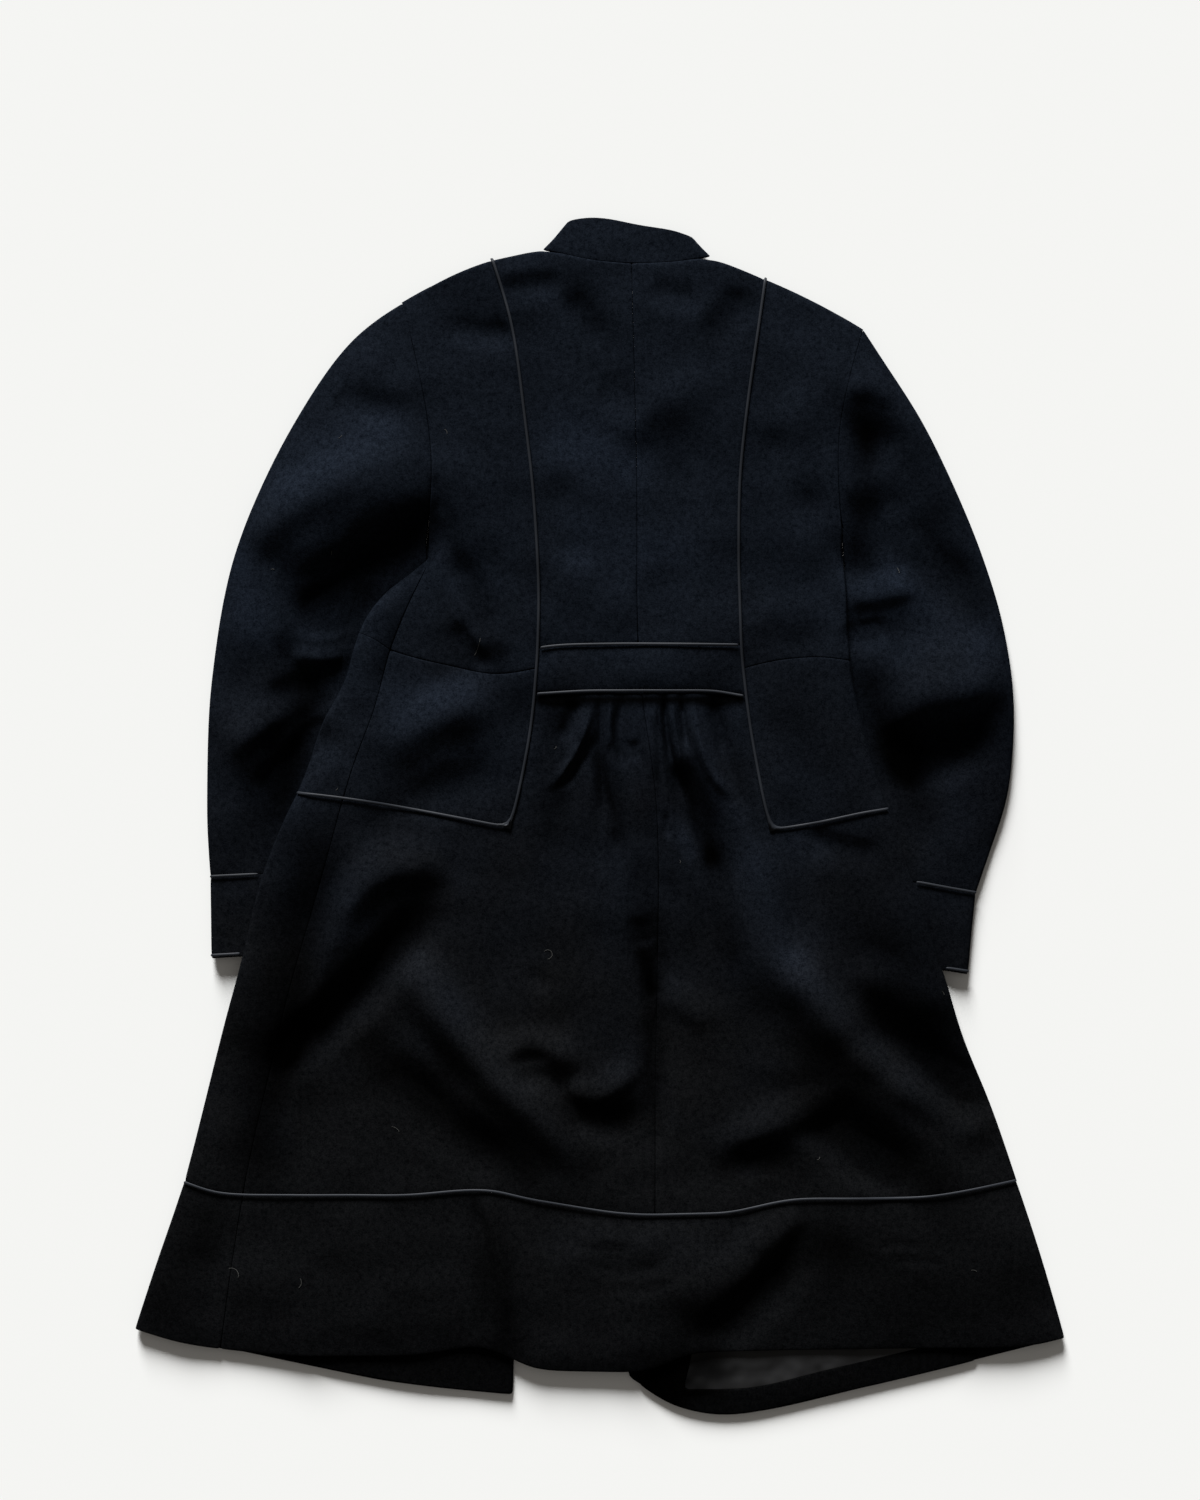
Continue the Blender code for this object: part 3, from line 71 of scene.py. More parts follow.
# Creases that are finer than the solids' folds, a row for each: three places along its run, how far it
# stands up (a hollow is negative), and how wide it is to the left and to the right of that run.
Crease = namedtuple("Crease", "name x0 y0 x1 y1 x2 y2 rise left right")
CREASES = (
    Crease("yoke_hollow_left", -92, 458, -62, 466, -30, 466, -4.3, 17, 21),
    Crease("yoke_hollow_inner", -26, 462, -12, 436, 4, 416, -3.2, 20, 20),
    Crease("yoke_hollow_right", 124, 466, 112, 440, 88, 414, -4.3, 25, 22),
    Crease("yoke_hollow_middle", 42, 468, 66, 456, 92, 458, -2.9, 17, 20),
    Crease("shoulder_hollow_left", -138, 436, -100, 424, -78, 432, -4.0, 18, 18),
    Crease("spine_hollow", -4, 378, 18, 366, 42, 354, -2.5, 25, 25),
    Crease("blade_ridge_right", 4, 330, 54, 362, 112, 392, 2.9, 36, 34),
    Crease("blade_hollow_right", 92, 346, 72, 282, 82, 222, -2.9, 31, 34),
    Crease("back_ridge_low", -42, 228, 0, 192, 40, 184, 2.9, 34, 31),
    Crease("back_hollow_low", -48, 300, -24, 262, -30, 214, -2.5, 25, 28),
    Crease("side_ridge_left", -142, 330, -114, 280, -88, 226, 3.2, 28, 31),
    Crease("side_hollow_left", -136, 232, -110, 194, -98, 150, -5.8, 22, 25),
    Crease("side_tuck_left", -128, 172, -112, 150, -96, 128, -3.0, 9, 14),
    Crease("armhole_tuck_left", -146, 300, -142, 282, -138, 262, -2.0, 6, 8),
    Crease("side_ridge_right", 186, 384, 172, 330, 182, 262, 2.9, 25, 28),
    Crease("side_hollow_right", 150, 344, 164, 300, 196, 248, -3.2, 28, 28),
    Crease("waist_swell_right", 132, 186, 166, 178, 204, 190, 2.9, 28, 31),
    Crease("hip_ridge_left", -194, 50, -150, 84, -100, 104, 3.8, 35, 29),
    Crease("hip_hollow_left", -176, 12, -130, 26, -82, 50, -3.4, 26, 34),
    Crease("side_back_fold", -142, 246, -122, 190, -98, 138, 4.5, 14, 24),
    Crease("left_cap_hollow", -232, 372, -206, 362, -160, 350, -3.8, 23, 26),
    Crease("left_arm_ridge", -318, 236, -264, 276, -160, 330, 3.8, 35, 32),
    Crease("left_elbow_ridge", -282, 212, -215, 250, -138, 292, 5.0, 36, 18),
    Crease("left_elbow_pit", -272, 170, -215, 194, -150, 250, -13.0, 34, 26),
    Crease("left_elbow_edge", -288, 226, -284, 185, -276, 140, 3.0, 12, 14),
    Crease("left_elbow_roll", -268, 148, -246, 138, -212, 150, 5.0, 12, 12),
    Crease("left_forearm_pit", -292, 96, -262, 112, -222, 128, -6.0, 22, 30),
    Crease("left_forearm_ridge", -330, 52, -290, 82, -238, 116, 5.0, 26, 14),
    Crease("left_forearm_hollow", -300, 20, -266, 50, -238, 88, -10.0, 20, 32),
    Crease("right_cap_roll", 216, 366, 236, 374, 262, 360, 2.6, 18, 14),
    Crease("right_cap_pit", 214, 332, 236, 334, 266, 312, -4.4, 30, 40),
    Crease("right_arm_hollow", 238, 300, 276, 246, 340, 184, -7.5, 26, 41),
    Crease("right_elbow_ridge", 212, 190, 242, 193, 280, 203, 4.0, 28, 14),
    Crease("right_elbow_pit", 212, 166, 232, 163, 256, 172, -3.6, 14, 22),
    Crease("right_forearm_ridge", 236, 78, 292, 96, 358, 112, 6.0, 34, 14),
    Crease("right_forearm_pit", 250, 34, 292, 56, 350, 72, -10.0, 32, 38),
    Crease("gather_1", -7, 104, -22, 55, -48, 24, 3.5, 6, 8),
    Crease("gather_2", 7, 104, 8, 80, 6, 55, 3.0, 6, 6),
    Crease("gather_3", 46, 104, 46, 70, 50, 30, 3.0, 6, 7),
    Crease("gather_4", 62, 104, 66, 60, 84, 10, 3.5, 7, 6),
    Crease("gather_5", 79, 104, 92, 50, 119, 15, 4.0, 9, 8),
    Crease("gather_long_ridge", 92, 50, 141, -29, 158, -117, 5.0, 38, 29),
    Crease("gather_pit_1", -1, 102, 1, 40, 14, -10, -3.8, 7, 11),
    Crease("gather_pit_2", -5, 72, -18, 48, -35, 24, -3.5, 8, 8),
    Crease("gather_pit_3", 17, 104, 16, 70, 22, 40, -3.5, 6, 7),
    Crease("gather_pit_4", 56, 104, 58, 76, 62, 46, -3.8, 5, 5),
    Crease("gather_pit_5", 71, 103, 73, 82, 76, 60, -3.0, 5, 5),
    Crease("gather_pit_6", 66, 48, 92, -8, 114, -110, -5.4, 17, 13),
    Crease("gather_pit_7", 98, 103, 104, 80, 110, 50, -3.5, 9, 10),
    Crease("gather_pit_8", -22, 102, -26, 85, -34, 66, -3.5, 10, 10),
    Crease("gather_pit_9", 29, 68, 30, 58, 31, 48, -1.8, 9, 9),
    Crease("spine_pit_small", 57, 6, 59, -8, 60, -18, -2.5, 5, 6),
    Crease("skirt_roll_left", -238, -117, -194, -52, -123, -52, 7.5, 32, 23),
    Crease("skirt_pit_left", -290, -214, -214, -150, -148, -70, -8.8, 23, 35),
    Crease("skirt_ridge_middle", -176, -126, -97, -222, 0, -319, 7.5, 38, 26),
    Crease("skirt_pit_middle", -205, -190, -141, -262, -62, -312, -7.5, 29, 35),
    Crease("skirt_dimple_left", -62, -132, -52, -142, -42, -146, -2.5, 10, 12),
    Crease("skirt_dimple_middle", 34, -86, 36, -102, 40, -114, -2.2, 16, 16),
    Crease("bent_fold_upper", -92, -214, -53, -200, -20, -226, 5.5, 22, 14),
    Crease("bent_fold_upper_pit", -76, -236, -50, -228, -30, -246, -3.4, 14, 18),
    Crease("bent_fold_lower", -28, -228, -2, -244, 38, -212, 5.5, 22, 14),
    Crease("bent_fold_lower_pit", -28, -258, 6, -268, 44, -246, -4.6, 18, 24),
    Crease("spine_fold", 50, -75, 52, -200, 50, -300, -3.8, 20, 20),
    Crease("spine_roll", 46, -158, 74, -166, 100, -186, 3.0, 28, 18),
    Crease("skirt_swell_right", 215, -128, 262, -150, 315, -172, 4.4, 29, 26),
    Crease("skirt_pit_right", 220, -170, 282, -214, 340, -267, -8.8, 32, 38),
    Crease("skirt_ridge_right", 158, -117, 202, -178, 264, -232, 6.2, 35, 29),
    Crease("skirt_ridge_right_low", 250, -220, 300, -252, 346, -290, 5.0, 29, 26),
    Crease("hip_pit_right", 178, -14, 210, -26, 252, -34, -3.5, 16, 26),
    Crease("skirt_side_left", -232, -40, -262, -150, -285, -290, -6.2, 20, 49),
    Crease("hem_roll_right", 96, -300, 158, -268, 220, -250, 6.2, 29, 20),
    Crease("hem_pit_right", 186, -246, 226, -292, 292, -322, -9.0, 42, 34),
    Crease("hem_pit_middle", 112, -306, 144, -298, 178, -306, -4.0, 22, 24),
    Crease("hem_fold", -105, -330, -90, -385, -85, -455, 4.0, 14, 4),
    Crease("hem_fold_pit", -112, -330, -100, -385, -96, -455, -3.0, 5, 16),
    Crease("hem_ridge_right", 70, -440, 124, -400, 176, -340, 5.6, 35, 17),
    Crease("hem_trough_right", 80, -465, 140, -416, 190, -352, -5.6, 17, 35),
    Crease("hem_swell", -40, -380, 20, -372, 60, -385, 3.1, 32, 23),
    Crease("hem_hollow_left", -352, -372, -340, -410, -346, -450, -3.8, 17, 23),
    Crease("hem_wrinkle_1", 240, -378, 262, -374, 290, -380, -1.4, 4, 6),
    Crease("hem_wrinkle_2", 252, -392, 276, -388, 305, -394, -1.4, 4, 6),
    Crease("hem_wrinkle_3", -30, -372, 0, -378, 36, -374, -1.4, 4, 6),
    Crease("hem_wrinkle_4", -10, -392, 24, -398, 62, -388, -1.4, 4, 6),
    Crease("hem_wrinkle_5", 10, -410, 40, -414, 70, -402, -1.2, 4, 6),
)

# Painted shade on the cloth's colour where folds lie in shade, and painted highlights where they catch the
# light (a negative depth), a row for each stretch: its two ends, how far it reaches to the side, and how
# strong it is.
PaintedLight = namedtuple("PaintedLight", "name x0 y0 x1 y1 reach depth")
PAINTED_LIGHT = (
    PaintedLight("yoke_left", -132, 455, -70, 437, 40, 0.35),
    PaintedLight("yoke_middle", -22, 464, 0, 429, 28, 0.40),
    PaintedLight("yoke_right", 128, 464, 101, 420, 28, 0.40),
    PaintedLight("blade_light", -26, 332, 18, 314, 50, -0.50),
    PaintedLight("low_back_light", -9, 244, 53, 226, 55, -0.35),
    PaintedLight("waist_left", -141, 134, -88, 147, 18, 0.40),
    PaintedLight("side_back_fold", -128, 236, -92, 146, 16, 0.35),
    PaintedLight("hip_left_light", -176, 103, -123, 112, 40, -0.35),
    PaintedLight("hip_left_low", -114, 68, -70, 103, 28, 0.35),
    PaintedLight("hip_right", 176, 103, 202, 15, 45, 0.25),
    PaintedLight("left_upper_arm_light", -264, 297, -194, 341, 46, -0.25),
    PaintedLight("left_elbow", -150, 261, -255, 191, 34, 0.70),
    PaintedLight("left_elbow_light", -317, 226, -299, 156, 30, -0.25),
    PaintedLight("left_forearm", -273, 112, -295, -3, 34, 0.40),
    PaintedLight("right_cap", 226, 362, 286, 282, 46, 0.50),
    PaintedLight("right_upper_arm", 299, 261, 330, 191, 30, 0.45),
    PaintedLight("right_elbow_light", 238, 213, 334, 156, 36, -0.35),
    PaintedLight("right_forearm", 264, 50, 352, 85, 36, 0.50),
    PaintedLight("right_wrist_light", 290, -11, 317, 24, 40, -0.30),
    PaintedLight("under_belt_left", -35, 103, -48, 15, 22, 0.40),
    PaintedLight("under_belt_right", 101, 94, 123, 24, 20, 0.45),
    PaintedLight("belt_shadow", -50, 103, 122, 103, 11, 1.00),
    PaintedLight("gather_dark_left", 1, 50, 14, -14, 14, 0.50),
    PaintedLight("gather_dark_right", 70, 42, 98, -34, 17, 0.70),
    PaintedLight("gather_dark_low", 98, -34, 116, -118, 22, 0.45),
    PaintedLight("gather_light", 58, 0, 82, -30, 16, -0.45),
    PaintedLight("spine_side_dark", 62, -52, 84, -76, 20, 0.35),
    PaintedLight("spine_blot", 36, -120, 44, -150, 13, 0.60),
    PaintedLight("skirt_roll_light", -220, -99, -132, -55, 30, -0.30),
    PaintedLight("skirt_left_dark", -150, -69, -273, -205, 30, 0.60),
    PaintedLight("skirt_side_left", -250, -30, -300, -290, 50, 0.75),
    PaintedLight("skirt_middle_light", -158, -126, -35, -302, 30, -0.35),
    PaintedLight("skirt_middle_dark", -185, -231, -70, -302, 42, 0.55),
    PaintedLight("bent_fold_dark", -26, -249, 26, -262, 22, 0.55),
    PaintedLight("spine_upper", 35, -47, 35, -108, 22, 0.35),
    PaintedLight("spine_lower", 48, -126, 48, -267, 18, 0.45),
    PaintedLight("skirt_right_light", 88, 50, 167, -126, 32, -0.35),
    PaintedLight("skirt_right_low_light", 167, -126, 317, -275, 24, -0.30),
    PaintedLight("skirt_side_right", 232, -60, 317, -214, 62, 0.50),
    PaintedLight("skirt_right_dark", 220, -152, 317, -249, 38, 0.30),
    PaintedLight("skirt_low_right", 190, -250, 290, -320, 46, 0.60),
    PaintedLight("skirt_low_middle", 114, -302, 167, -306, 26, 0.50),
    PaintedLight("hem_left_end", -387, -425, -343, -355, 40, 0.50),
    PaintedLight("hem_fold", -97, -355, -88, -451, 30, 0.50),
    PaintedLight("hem_middle_light", -35, -372, 123, -372, 36, -0.25),
    PaintedLight("hem_right_low", 88, -434, 202, -372, 34, 0.50),
    PaintedLight("hem_right_end", 220, -390, 378, -425, 60, 0.40),
    PaintedLight("lining_left_end", 56, -500, 96, -484, 34, 0.90),
)

# Painted shade on the sleeves alone, beside the body's edges, where the body shades them.
SLEEVE_PAINTED_SHADE = (
    PaintedLight("left_elbow_by_body", -204, 192, -232, 140, 24, 0.60),
    PaintedLight("left_forearm_by_body", -252, 116, -276, 10, 28, 0.60),
    PaintedLight("right_arm_by_body", 232, 336, 226, 222, 24, 0.60),
    PaintedLight("right_forearm_by_body", 238, 112, 280, 16, 34, 0.75),
)

# The hem facings lie in the shade of the back's hem.
FACING_SHADE = 0.6

# Where the sleeves' edges are drawn towards the body under the arms: how far, and over how wide a reach.
Slit = namedtuple("Slit", "side x y shift_x shift_y reach")
SLITS = (
    Slit("left", -170, 438, 1.7, 0.0, 24),
    Slit("left", -174, 212, 5.0, -3.5, 26),
    Slit("left", -156, 226, 2.0, -1.0, 16),
    Slit("right", 217, 214, -2.2, 0.0, 18),
)

# Lint and stray hairs on the back, a row for each: where it lies, how long it is, and its turn and its curl in
# degrees.
Lint = namedtuple("Lint", "x y length turn curl")
LINTS = (
    Lint(-110, 142, 16, 62, 20),
    Lint(-46, -124, 16, 10, 230),
    Lint(-317, -403, 14, 80, 130),
    Lint(-264, -412, 9, 40, 90),
    Lint(-176, -275, 8, 120, 60),
    Lint(-134, 336, 5, 80, 90),
    Lint(-229, 332, 4, 20, 40),
    Lint(-235, 230, 3, 70, 30),
    Lint(-285, 217, 3, 150, 60),
    Lint(-231, 24, 3, 30, 40),
    Lint(301, -155, 4, 100, 50),
    Lint(262, 214, 5, 95, 40),
    Lint(70, -40, 3, 60, 70),
    Lint(190, -300, 4, 10, 80),
    Lint(330, -398, 5, 140, 60),
    Lint(-40, 60, 3, 30, 50),
)
LINT_WIDTH = 0.3
LINT_RISE = 0.3
LINT_STEPS = 9
RAY_TOP = 0.2
BARE_FLOOR = 0.01

# Corners of the hip seams, which the eye reads as sharp.
Corner = namedtuple("Corner", "x y reach")
CORNERS = (
    Corner(-82, -9, 6.0),
    Corner(150, -11, 6.0),
)

Look = namedtuple("Look", "colour roughness specular sheen sheen_roughness")
WOOL = Look((0.0058, 0.0077, 0.0113), 0.95, 0.0, 0.0, 0.50)
PIPING = Look((0.013, 0.015, 0.019), 0.50, 0.16, 0.0, 0.30)
LINING = Look((0.013, 0.013, 0.0135), 0.42, 0.28, 0.0, 0.30)
LINT = Look((0.09, 0.09, 0.085), 0.90, 0.0, 0.0, 0.30)
FLOOR_COLOUR = (0.93, 0.93, 0.91)
FLOOR_REACH = 60
FLOOR_DROP = 0.0005

# The cloth pieces as they were cut: width and length in metres, and how much of that rectangle the cut fills.
Cut = namedtuple("Cut", "node width length fill detail rests_on")
CUTS = (
    Cut("centre_back_left", 0.13, 0.35, 0.76, 3, ("front_left",)),
    Cut("centre_back_right", 0.12, 0.34, 0.83, 3, ("front_right",)),
    Cut("side_back_left", 0.13, 0.37, 0.72, 3, ("front_left",)),
    Cut("side_back_right", 0.11, 0.34, 0.78, 3, ("front_right",)),
    Cut("side_hip_left", 0.17, 0.16, 0.72, 3, ("front_hip_left",)),
    Cut("side_hip_right", 0.13, 0.15, 0.76, 3, ("front_hip_right",)),
    Cut("half_belt", 0.185, 0.045, 0.96, 2, ("skirt_back_left", "skirt_back_right")),
    Cut("skirt_back_left", 0.365, 0.46, 0.75, 3, ("front_skirt_left",)),
    Cut("skirt_back_right", 0.33, 0.46, 0.69, 3, ("front_skirt_right",)),
    Cut("hem_band_back", 0.75, 0.17, 0.80, 3, ("hem_band_front_left", "hem_band_front_right")),
    Cut("front_left", 0.25, 0.34, 0.72, 2, ()),
    Cut("front_hip_left", 0.30, 0.145, 0.91, 2, ("top_sleeve_left",)),
    Cut("front_skirt_left", 0.35, 0.35, 0.93, 2, ("cuff_left",)),
    Cut("hem_band_front_left", 0.41, 0.17, 0.89, 2, ()),
    Cut("front_right", 0.20, 0.35, 0.89, 2, ()),
    Cut("front_hip_right", 0.22, 0.13, 0.95, 2, ("top_sleeve_right",)),
    Cut("front_skirt_right", 0.34, 0.33, 0.84, 2, ("cuff_right",)),
    Cut("hem_band_front_right", 0.38, 0.20, 0.88, 2, ()),
    Cut("hem_facing_left", 0.29, 0.08, 0.69, 2, ("hem_band_front_left",)),
    Cut("hem_facing_right", 0.30, 0.11, 0.35, 2, ("hem_band_front_right",)),
    Cut("lining_right", 0.26, 0.09, 0.79, 3, ("hem_band_front_right",)),
    Cut("stand_collar", 0.26, 0.04, 0.80, 3, ("centre_back_left",)),
    Cut("top_sleeve_left", 0.24, 0.50, 0.86, 3, ("under_sleeve_left",)),
    Cut("top_sleeve_right", 0.24, 0.49, 0.80, 3, ("under_sleeve_right",)),
    Cut("under_sleeve_left", 0.08, 0.38, 0.97, 2, ()),
    Cut("under_sleeve_right", 0.08, 0.36, 0.87, 2, ()),
    Cut("cuff_left", 0.28, 0.075, 0.96, 3, ()),
    Cut("cuff_right", 0.27, 0.075, 0.98, 3, ()),
)


def ease(share):
    """A smooth step from 0 to 1."""
    share = np.clip(share, 0.0, 1.0)
    return share * share * (3 - 2 * share)


def crease_path(crease):
    """Points along a crease, on the curve through its three places."""
    start = np.array((crease.x0, crease.y0), float)
    middle = np.array((crease.x1, crease.y1), float)
    end = np.array((crease.x2, crease.y2), float)
    pull = 2 * middle - (start + end) / 2
    share = np.linspace(0, 1, PATH_STEPS + 1)[:, None]
    return (1 - share) ** 2 * start + 2 * share * (1 - share) * pull + share ** 2 * end


def crease_height(crease, x, y):
    """How far one crease lifts the cloth at many places."""
    path = crease_path(crease)
    reach = max(crease.left, crease.right)
    low = path.min(0) - reach
    high = path.max(0) + reach
    height = np.zeros(len(x))
    near = np.nonzero((x > low[0]) & (x < high[0]) & (y > low[1]) & (y < high[1]))[0]
    if not len(near):
        return height
    here = np.stack((x[near], y[near]), 1)
    best = np.full(len(near), np.inf)
    along = np.zeros(len(near))
    side = np.zeros(len(near))
    for i in range(PATH_STEPS):
        run = path[i + 1] - path[i]
        share = np.clip(((here - path[i]) @ run) / (run @ run), 0, 1)
        away = here - path[i] - share[:, None] * run
        distance = np.hypot(away[:, 0], away[:, 1])
        closer = distance < best
        best[closer] = distance[closer]
        along[closer] = (i + share[closer]) / PATH_STEPS
        side[closer] = (run[0] * away[:, 1] - run[1] * away[:, 0])[closer]
    width = np.where(side > 0, crease.left, crease.right)
    taper = ease(along / TAPER + TAPER_LEAD) * ease((1 - along) / TAPER + TAPER_LEAD)
    across = np.clip(best / width, 0, 1)
    height[near] = crease.rise * taper * (0.5 + 0.5 * np.cos(math.pi * across))
    return height


def relief(x, y):
    """Height of all the fine creases, and the slight unevenness of thick cloth, in millimetres."""
    height = np.zeros(len(x))
    for crease in CREASES:
        height += crease_height(crease, x, y)
    for i in range(len(x)):
        for swell in SWELLS:
            place = Vector((x[i] / swell.length_x, y[i] / swell.length_y, swell.place))
            height[i] += swell.height * noise.noise(place)
    return height


def coordinates(mesh):
    """A mesh's points as rows of three."""
    places = np.zeros(len(mesh.vertices) * 3)
    mesh.vertices.foreach_get("co", places)
    return places.reshape(-1, 3)


def drape(mesh):
    """Move a piece's upper layer by the relief, both faces of its wall together."""
    places = coordinates(mesh)
    millimetres = places / MM
    height = relief(millimetres[:, 0], millimetres[:, 1])
    room = np.clip(millimetres[:, 2] - FLAT_LAYER, 0, None)
    share = ease(room / DRAPE_ROOM)
    places[:, 2] += np.maximum(height * share, -SINK_SHARE * room) * MM
    mesh.vertices.foreach_set("co", places.ravel())
    mesh.update()


def round_over(work, spread):
    """Spread a wall's cut edges towards their neighbours, and take their corners off."""
    sharp = [edge for edge in work.edges
             if len(edge.link_faces) == 2 and edge.calc_face_angle() > SHARP_ANGLE]
    marked = set(sharp)
    pushes = {}
    for face in work.faces:
        shortest = min(edge.calc_length() for edge in face.edges)
        if sum(edge in marked for edge in face.edges) >= 2 and shortest < THICKEST_WALL:
            for vertex in face.verts:
                pushes[vertex] = pushes.get(vertex, Vector()) + face.normal
    for vertex, push in pushes.items():
        vertex.co += push.normalized() * spread * MM
    bmesh.ops.bevel(work, geom=sharp, offset=ROUND_OVER * MM, segments=1, profile=0.5, affect="EDGES",
                    clamp_overlap=True)


def hold_corners(work):
    """Keep the seams' real corners where they are when the surface is smoothed."""
    held = work.verts.layers.float.new("crease_vert")
    for vertex in work.verts:
        x, y = vertex.co.x / MM, vertex.co.y / MM
        if any(math.hypot(x - corner.x, y - corner.y) < corner.reach for corner in CORNERS):
            vertex[held] = 1.0


def refined(source, levels, is_cord=False):
    """A copy of a CAD wall in smooth quads, its cut edges rounded over a little."""
    work = bmesh.new()
    work.from_mesh(source.data)
    bmesh.ops.remove_doubles(work, verts=work.verts, dist=WELD_DISTANCE)
    bmesh.ops.join_triangles(work, faces=work.faces, angle_face_threshold=0.9, angle_shape_threshold=1.2,
                             cmp_seam=False, cmp_sharp=False, cmp_uvs=False, cmp_vcols=False,
                             cmp_materials=False)
    if not is_cord:
        round_over(work, SLEEVE_SPREAD if "sleeve" in source.name else SPREAD)
    hold_corners(work)
    mesh = bpy.data.meshes.new(source.name + "_fine")
    work.to_mesh(mesh)
    work.free()
    piece = bpy.data.objects.new(source.name + "_piece", mesh)
    bpy.context.scene.collection.objects.link(piece)
    smooth = piece.modifiers.new("smooth", "SUBSURF")
    smooth.levels = levels
    smooth.render_levels = levels
    applied = bpy.data.meshes.new_from_object(piece.evaluated_get(bpy.context.evaluated_depsgraph_get()))
    piece.modifiers.clear()
    piece.data = applied
    bpy.data.meshes.remove(mesh)
    applied.shade_smooth()
    return piece


def paint_light_and_shade(mesh, name):
    """Note on every point its painted light and shade: a half is even, more is darker, less is lighter."""
    places = coordinates(mesh)[:, :2] / MM
    depth = np.full(len(places), FACING_SHADE if "facing" in name else 0.0)
    for nap_and_painted_light in PAINTED_LIGHT + SLEEVE_PAINTED_SHADE if "sleeve" in name else PAINTED_LIGHT:
        start = np.array((nap_and_painted_light.x0, nap_and_painted_light.y0))
        run = np.array((nap_and_painted_light.x1, nap_and_painted_light.y1)) - start
        share = np.clip(((places - start) @ run) / (run @ run), 0, 1)
        away = places - start - share[:, None] * run
        depth += nap_and_painted_light.depth * (1 - ease(np.hypot(away[:, 0], away[:, 1]) / nap_and_painted_light.reach))
    painted_light_layer = mesh.attributes.new("nap_and_painted_light", "FLOAT", "POINT")
    painted_light_layer.data.foreach_set("value", np.clip(0.5 + 0.5 * depth, 0, 1))


def draw_in(mesh, name):
    """Draw a sleeve's edge over the slit that its solid leaves beside the body."""
    if "sleeve" not in name:
        return
    places = coordinates(mesh)
    for slit in (slit for slit in SLITS if slit.side in name):
        away = np.hypot(places[:, 0] / MM - slit.x, places[:, 1] / MM - slit.y)
        share = 1 - ease(away / slit.reach)
        places[:, 0] += share * slit.shift_x * MM
        places[:, 1] += share * slit.shift_y * MM
    mesh.vertices.foreach_set("co", places.ravel())
    mesh.update()


def dress(piece, look, node):
    """Give a piece its only material, and let it stand for its CAD node."""
    piece.data.materials.clear()
    piece.data.materials.append(look)
    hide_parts(node)
    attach(piece, "root")


def new_material(name, look):
    """A Principled material with its fixed values set, and its node tree."""
    material = bpy.data.materials.new(name)
    material.use_nodes = True
    shader = material.node_tree.nodes["Principled BSDF"]
    shader.inputs["Base Color"].default_value = (*look.colour, 1)
    shader.inputs["Roughness"].default_value = look.roughness
    shader.inputs["Specular IOR Level"].default_value = look.specular
    shader.inputs["Sheen Weight"].default_value = look.sheen
    shader.inputs["Sheen Roughness"].default_value = look.sheen_roughness
    return material, material.node_tree, shader


def node(tree, kind, **values):
    """A shader node with some of its properties and inputs set."""
    made = tree.nodes.new(kind)
    for name, value in values.items():
        if hasattr(made, name):
            setattr(made, name, value)
        else:
            made.inputs[name.replace("_", " ")].default_value = value
    return made


